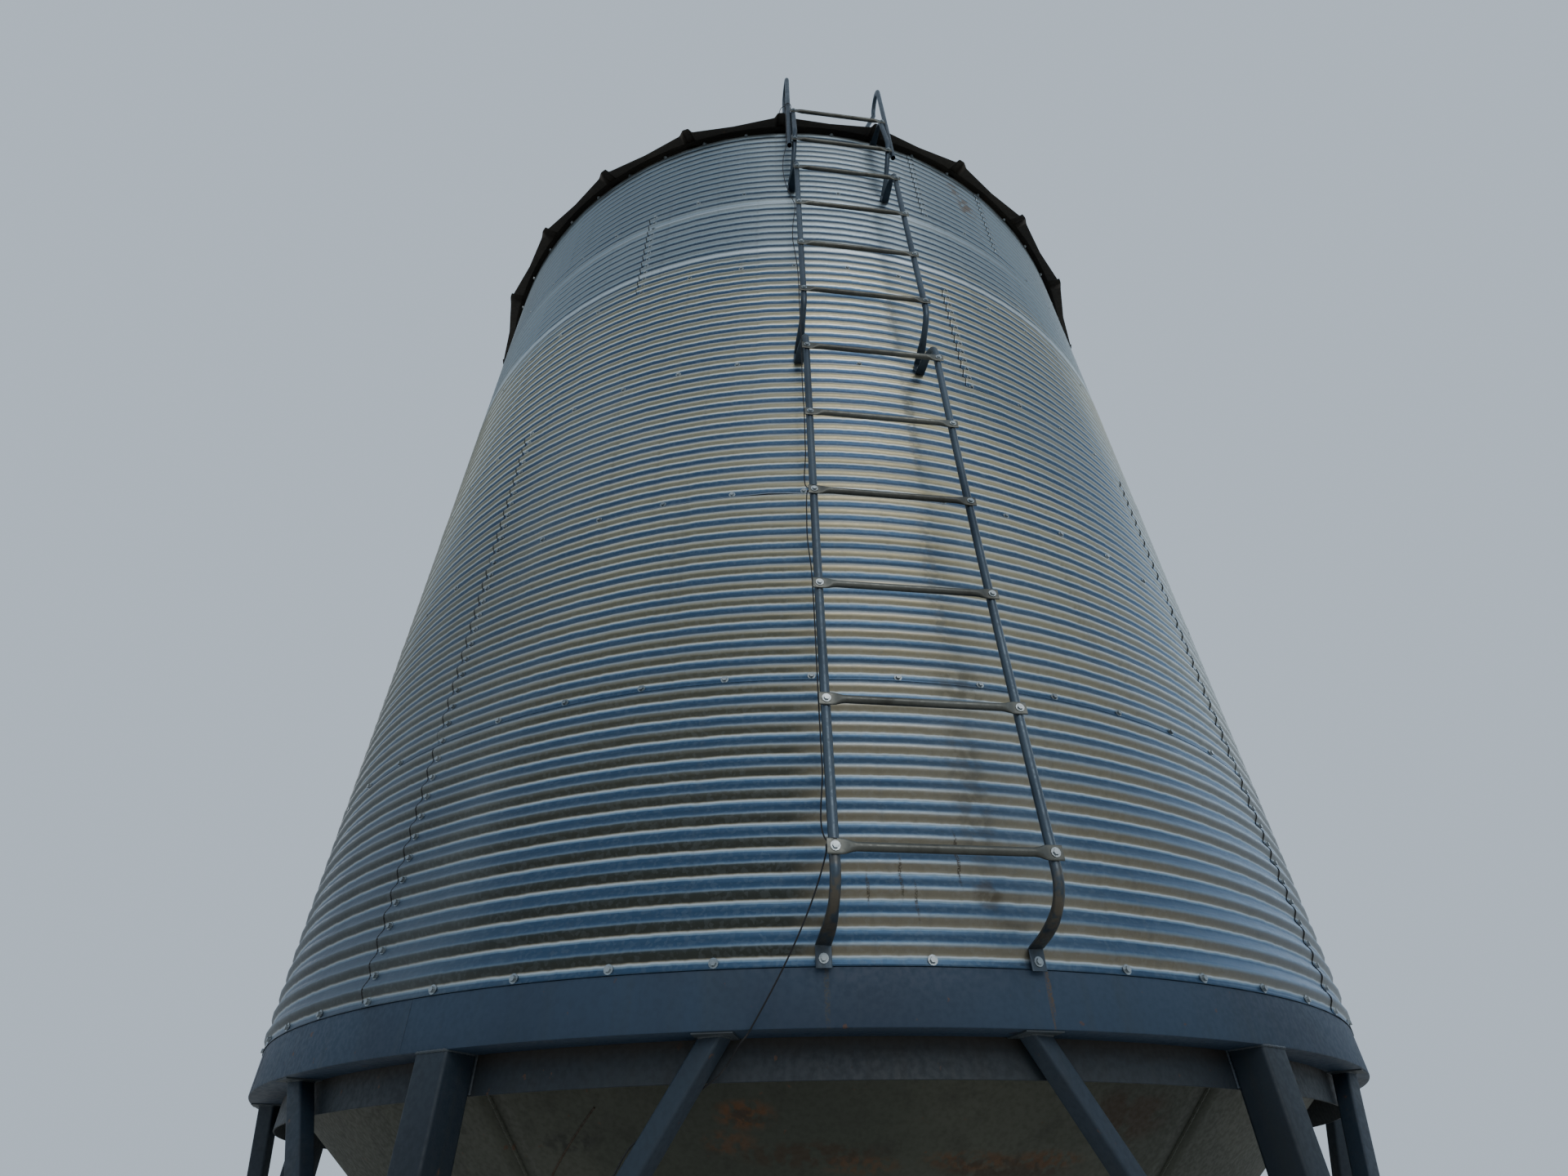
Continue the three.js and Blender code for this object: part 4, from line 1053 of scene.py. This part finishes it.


# The brown patches at both rails' foot bends are a painted reflection of the ground.
rail_steel = bare_steel("rail_steel", (50, 60, 70), (76, 87, 97), (56, 54, 51), stains=[
    ((side * RAIL_HALF_SPACING, AXIS_Y - CREST - 0.12, 2.07), 0.0, (0.05, 0.16, 0.15), (98, 92, 82), 0.9)
    for side in (-1, 1)
])
rung_steel = bare_steel("rung_steel", (70, 71, 68), (95, 97, 93), (42, 39, 33))
rung_x = RUNG_HALF_LENGTH * np.concatenate([-RUNG_HALF_COLUMNS[::-1], [0], RUNG_HALF_COLUMNS])
rung_flat = taper(-abs(rung_x), *RUNG_FLAT)
rail_bolts = []
for name, base, top, layer, rise, drop, reach, first_rung in LADDER_SECTIONS:
    foot = RING_BASE + base * RING_HEIGHT
    head = RING_BASE + top * RING_HEIGHT - (TOP_ROW_DROP if top == RINGS else 0)
    outline = rail_outline(foot, head, layer, rise, drop, reach)
    rail_flat = taper(np.minimum(outline[:, 1] - foot, head - outline[:, 1]), *RAIL_FLAT)
    rails, rungs = [], []
    for side in (-1, 1):
        rail = in_front(side * RAIL_HALF_SPACING, outline[:, 0], outline[:, 1])
        outward = direction(side * RAIL_ANGLE)
        width_way = along_wall(side * RAIL_ANGLE)
        rails.append(flat_ended(rail, width_way, RAIL_RADIUS, rail_flat, *RAIL_END_CHANGE))
        for end, bolt_height in ((0, foot), (-1, head)):
            seat = rail[end] * [1, 1, 0] + UP * bolt_height + outward * TAB_PLATE / 2
            rail_bolts.append((seat, outward))
    for height in np.arange(foot + first_rung, head, RUNG_SPACING):
        reach_out = np.interp(height, outline[:, 1], outline[:, 0]) + RUNG_AHEAD
        rung = in_front(rung_x, reach_out, height)
        rungs.append(flat_ended(rung, UP, RUNG_RADIUS, rung_flat, *RUNG_END_CHANGE))
        for side in (-1, 1):
            seat = in_front(side * RAIL_HALF_SPACING, reach_out + RUNG_BOLT_AHEAD, height)
            rail_bolts.append((seat, FRONT))
    steel_piece(f"{name}_rails", rails, rail_steel, [name])
    steel_piece(f"{name}_rungs", rungs, rung_steel, [name])
seats, ways = (np.array(values) for values in zip(*rail_bolts))
ladder_bolts = bolts(seats, ways, LADDER_BOLT_WASHER, LADDER_BOLT_RISE)
steel_piece("ladder_bolts", [ladder_bolts], bolt_steel)


# Grab rails: one hairpin tube beside each ladder rail, up past the eave and back down to the roof. The
# left one comes down on a rib, and the right one leans in.
GRAB_SIDE = 0.2805
GRAB_REACH = 0.147
GRAB_WIDTH = 0.130
GRAB_FOOT = 5.955
GRAB_TOP = 6.872
GRAB_BORE = 0.04
grab_rear = GRAB_REACH - GRAB_WIDTH
arc_top = GRAB_TOP + GRAB_WIDTH * 2 / 3
for side_name, side, lean, rib in (("left", -1, 0.0, 0.04), ("right", 1, 0.09, 0.0)):
    x = side * GRAB_SIDE
    rear_x = side * (GRAB_SIDE - lean)
    foot_height = panel_height(math.hypot(CREST + grab_rear - RAIL_RADIUS, rear_x)) + rib + 2 * GAP
    front_leg = np.linspace((x, GRAB_REACH, GRAB_FOOT), (x, GRAB_REACH, GRAB_TOP), 8)
    arc = bezier([(x, GRAB_REACH, GRAB_TOP), (x, GRAB_REACH, arc_top), (x, grab_rear, arc_top),
                  (x, grab_rear, GRAB_TOP)], 24)
    rear_leg = np.linspace((x, grab_rear, GRAB_TOP), (rear_x, grab_rear, foot_height), 6)
    centre = in_front(*np.concatenate([front_leg[:-1], arc, rear_leg[1:]]).T)
    tube = carried(centre, SIDEWAYS, RAIL_RADIUS, RAIL_RADIUS, sides=16, bore=GRAB_BORE)
    name = f"grab_rail_{side_name}"
    steel_piece(f"{name}_tube", [tube], rail_steel, [name])


# Rope: a thin black laid cord from the lid's rim down a rib, hitched round the left grab rail and the
# left ladder rail, and down under the ring beam to a knot round a brace.
ROPE_RADIUS = 0.002
ROPE_LAY = 0.016
ROPE_STEP = 0.0025
HITCH_RADIUS = 0.0168
HITCH_FALL = 0.01
ROPE_OVER_ROOF = (
    (-0.0671, -0.4001, 7.664), (-0.0683, -0.4085, 7.662), (-0.07, -0.4203, 7.650), (-0.072, -0.4342, 7.628),
    (-0.0745, -0.452, 7.600), (-0.0782, -0.4778, 7.565), (-0.0833, -0.5134, 7.5351),
    (-0.1933, -1.2856, 7.0848), (-0.3061, -2.0776, 6.6229), (-0.3208, -2.1806, 6.5645),
    (-0.3218, -2.1875, 6.5585), (-0.3221, -2.1898, 6.547), (-0.32, -2.212, 6.522), (-0.31, -2.236, 6.497),
)
GRAB_HITCH = (-0.2805, -2.2491, 6.480)
ROPE_BESIDE_UPPER_LADDER = (
    (-0.297, -2.2491, 6.440), (-0.297, -2.2491, 6.010), (-0.300, -2.250, 5.930), (-0.316, -2.254, 5.780),
    (-0.320, -2.259, 5.600), (-0.306, -2.265, 5.430), (-0.282, -2.270, 5.300), (-0.271, -2.2719, 5.238),
    (-0.284, -2.2731, 5.050), (-0.288, -2.2742, 4.900), (-0.280, -2.2751, 4.780), (-0.273, -2.2762, 4.650),
    (-0.272, -2.2779, 4.476), (-0.272, -2.276, 4.290), (-0.271, -2.273, 4.086), (-0.274, -2.2691, 3.900),
    (-0.2715, -2.2661, 3.705), (-0.273, -2.2644, 3.520),
)
FOURTH_RUNG_HITCH = (-0.2535, -2.2657, 3.343)
ROPE_BESIDE_LOWER_LADDER = (
    (-0.279, -2.2637, 3.200), (-0.279, -2.2642, 3.120), (-0.272, -2.265, 3.010), (-0.2705, -2.2656, 2.943),
    (-0.270, -2.2683, 2.750), (-0.2705, -2.272, 2.562), (-0.270, -2.2766, 2.380),
)
FIRST_RUNG_HITCH = (-0.2535, -2.2843, 2.200)
ROPE_TO_BRACE = (
    (-0.272, -2.283, 2.170), (-0.4166, -2.0511, 1.8615), (-0.4381, -2.0129, 1.8377),
    (-0.4589, -1.967, 1.8081), (-0.4757, -1.9507, 1.7899), (-0.4889, -1.9431, 1.7801),
    (-0.527, -1.9231, 1.7564), (-0.5697, -1.9008, 1.7288), (-0.6059, -1.883, 1.7021),
    (-0.6348, -1.8834, 1.6839), (-0.657, -1.8909, 1.6657), (-0.6681, -1.8942, 1.6499),
    (-0.6851, -1.8971, 1.6187), (-0.6965, -1.8931, 1.599), (-0.708, -1.8867, 1.5795),
)
KNOT_FROM_BRACE_TOP = 0.375
KNOT_OUTWARD = 0.014
KNOT_RADIUS = 0.0062
KNOT_CORD_RADIUS = 0.0019
TREFOIL_SIZE = 0.00145
LOOP_CORNER = 0.0095
LOOP_SHIFT = 0.0021
LOOP_STEP = 0.003


def hitch(middle):
    """One turn of the rope round an upright tube: nine points, 45 degrees and 1.25 mm lower each."""
    turn = np.radians(np.arange(9) * 45)
    x, y, z = middle
    return np.stack([x - HITCH_RADIUS * np.cos(turn), y - HITCH_RADIUS * np.sin(turn),
                     z - HITCH_FALL * turn / (2 * math.pi)], axis=1)


def smooth_path(points, step):
    """Hermite curve through points, its speed at each the chord's length times the direction halfway
    between the chords that meet there, resampled evenly and softened with a 1-2-1 average twice."""
    chord = np.diff(points, axis=0)
    length = np.linalg.norm(chord, axis=1, keepdims=True)
    way = chord / length
    halfway = unit(np.concatenate([way[:1], way[:-1] + way[1:], way[-1:]]))
    t = np.linspace(0, 1, 60)[:-1, None, None]
    start, end = points[:-1], points[1:]
    curve = ((2 * t ** 3 - 3 * t ** 2 + 1) * start + (t ** 3 - 2 * t ** 2 + t) * length * halfway[:-1]
             + (3 * t ** 2 - 2 * t ** 3) * end + (t ** 3 - t ** 2) * length * halfway[1:])
    curve = np.concatenate([np.swapaxes(curve, 0, 1).reshape(-1, 3), points[-1:]])
    curve = evenly(curve, step)
    for _ in range(2):
        curve[1:-1] = (curve[:-2] + 2 * curve[1:-1] + curve[2:]) / 4
    return curve


def laid_rope(path, radius):
    """Three-strand rope: the section's radius is 0.93 of the rope's, less and more a tenth, as the cosine
    of three times the turn, and the section turns once round in each lay length."""
    tangent = unit(np.gradient(path, axis=0))
    normals = np.empty_like(path)
    normal = np.cross(tangent[0], UP + 0.3)
    for step, way in enumerate(tangent):
        normal = unit(normal - (normal @ way) * way)
        normals[step] = normal
    across = np.cross(tangent, normals)
    turn = 2 * np.pi * np.arange(12) / 12
    twist = 2 * np.pi * travelled(path)[:, None] / ROPE_LAY
    lobes = radius * (0.93 + 0.09 * np.cos(3 * (turn - twist)))
    points = path[:, None] + lobes[..., None] * (np.cos(turn)[:, None] * normals[:, None]
                                                 + np.sin(turn)[:, None] * across[:, None])
    return shell(points, cap_ends=True)


def cord_fabric(name):
    """Black cord: near-black strands, grey with dust in patches, with fine fibre bump."""
    material, shader, where = new_material(name)
    fibres = grain(where, 900.0, 3.0)
    dust = grain(where, 24.0, 4.0)
    shade = over(share(fibres, 0.35, 0.7), (20, 21, 24), (46, 47, 50))
    shade = over(share(dust, 0.55, 0.75, 0.3), shade, (74, 72, 68))
    bumps = relief(fibres, 0.4, 0.0004)
    join(shader, {"Base Color": shade, "Roughness": 0.85, "Normal": bumps})
    return material


black_cord = cord_fabric("black_cord")
rope_points = np.concatenate([
    ROPE_OVER_ROOF, hitch(GRAB_HITCH), ROPE_BESIDE_UPPER_LADDER, hitch(FOURTH_RUNG_HITCH),
    ROPE_BESIDE_LOWER_LADDER, hitch(FIRST_RUNG_HITCH), ROPE_TO_BRACE])
rope_path = smooth_path(rope_points + [0, AXIS_Y, 0], ROPE_STEP)
rope = steel_piece("rope_run", [laid_rope(rope_path, ROPE_RADIUS)], black_cord, ["lid_rope"])
brace_top, (brace_along, brace_across, brace_upward), _, _ = brace_axes(LEG_ANGLES[-1], 1)
knot_centre = brace_top + brace_along * KNOT_FROM_BRACE_TOP
loop_square = rounded_square(BRACE_SIZE + 2 * (GAP + ROPE_RADIUS), LOOP_CORNER)
loop = knot_centre + loop_square[:, :1] * brace_across + loop_square[:, 1:] * brace_upward
turns = []
for shift in (-LOOP_SHIFT, LOOP_SHIFT):
    shifted = evenly(loop + shift * brace_along, LOOP_STEP, closed=True)
    turns.append(carried(shifted, brace_along, ROPE_RADIUS, ROPE_RADIUS, sides=10, closed=True))
knot_turn = np.linspace(0, 2 * np.pi, 60, endpoint=False)
trefoil = np.stack([np.sin(knot_turn) + 2 * np.sin(2 * knot_turn),
                    np.cos(knot_turn) - 2 * np.cos(2 * knot_turn), -np.sin(3 * knot_turn)], axis=1)
knot_rise = BRACE_SIZE / 2 + GAP + KNOT_RADIUS
lump = (knot_centre + KNOT_OUTWARD * brace_across + knot_rise * brace_upward
        + TREFOIL_SIZE * trefoil @ np.stack([brace_across, brace_along, brace_upward]))
knot_way = brace_upward + 0.2 * brace_across
turns.append(carried(lump, knot_way, KNOT_CORD_RADIUS, KNOT_CORD_RADIUS, sides=10, closed=True))
knot = steel_piece("rope_knot_turns", turns, black_cord, ["rope_knot"])


# Studio: a pale floor, a pale sky-grey surround and three large soft lamps, none of them part of the
# silo.
FLOOR_HALF = 60


def plain_surface(name, tone):
    """Matt surface with faint cloudy variation."""
    material, shader, where = new_material(name)
    clouds = grain(where, 0.6, 2.0)
    shade = over(share(clouds, 0.2, 0.8, 0.1), tone, (255, 255, 255))
    join(shader, {"Base Color": shade, "Roughness": 0.9})
    return material


floor_mesh = bpy.data.meshes.new("floor")
floor_corners = [(FLOOR_HALF * x, FLOOR_HALF * y, 0) for x, y in ((-1, -1), (1, -1), (1, 1), (-1, 1))]
floor_mesh.from_pydata(floor_corners, [], [(0, 1, 2, 3)])
floor_mesh.materials.append(plain_surface("floor_matt", (196, 190, 180)))
floor = add_object("floor", floor_mesh)
world = bpy.data.worlds.new("studio")
world.use_nodes = True
world.node_tree.nodes["Background"].inputs["Color"].default_value = colour(198, 213, 228)
world.node_tree.nodes["Background"].inputs["Strength"].default_value = 0.92
bpy.context.scene.world = world
for name, place, aim, size, watts, tone in (
    ("front", (1.4, -12.0, 7.5), (0, 0, 4.2), 6.0, 480, (1.0, 0.97, 0.93)),
    ("side", (11.0, 2.0, 9.0), (0, 0, 4.0), 8.0, 230, (0.74, 0.88, 1.0)),
    ("back", (-6.0, 10.0, 10.0), (0, 0, 5.0), 8.0, 420, (0.95, 0.97, 1.0)),
):
    lamp = bpy.data.lights.new(name, "AREA")
    lamp.size = size
    lamp.energy = watts
    lamp.color = tone
    facing = (Vector(aim) - Vector(place)).to_track_quat("-Z", "Y")
    add_object(name, lamp).matrix_world = Matrix.Translation(place) @ facing.to_matrix().to_4x4()
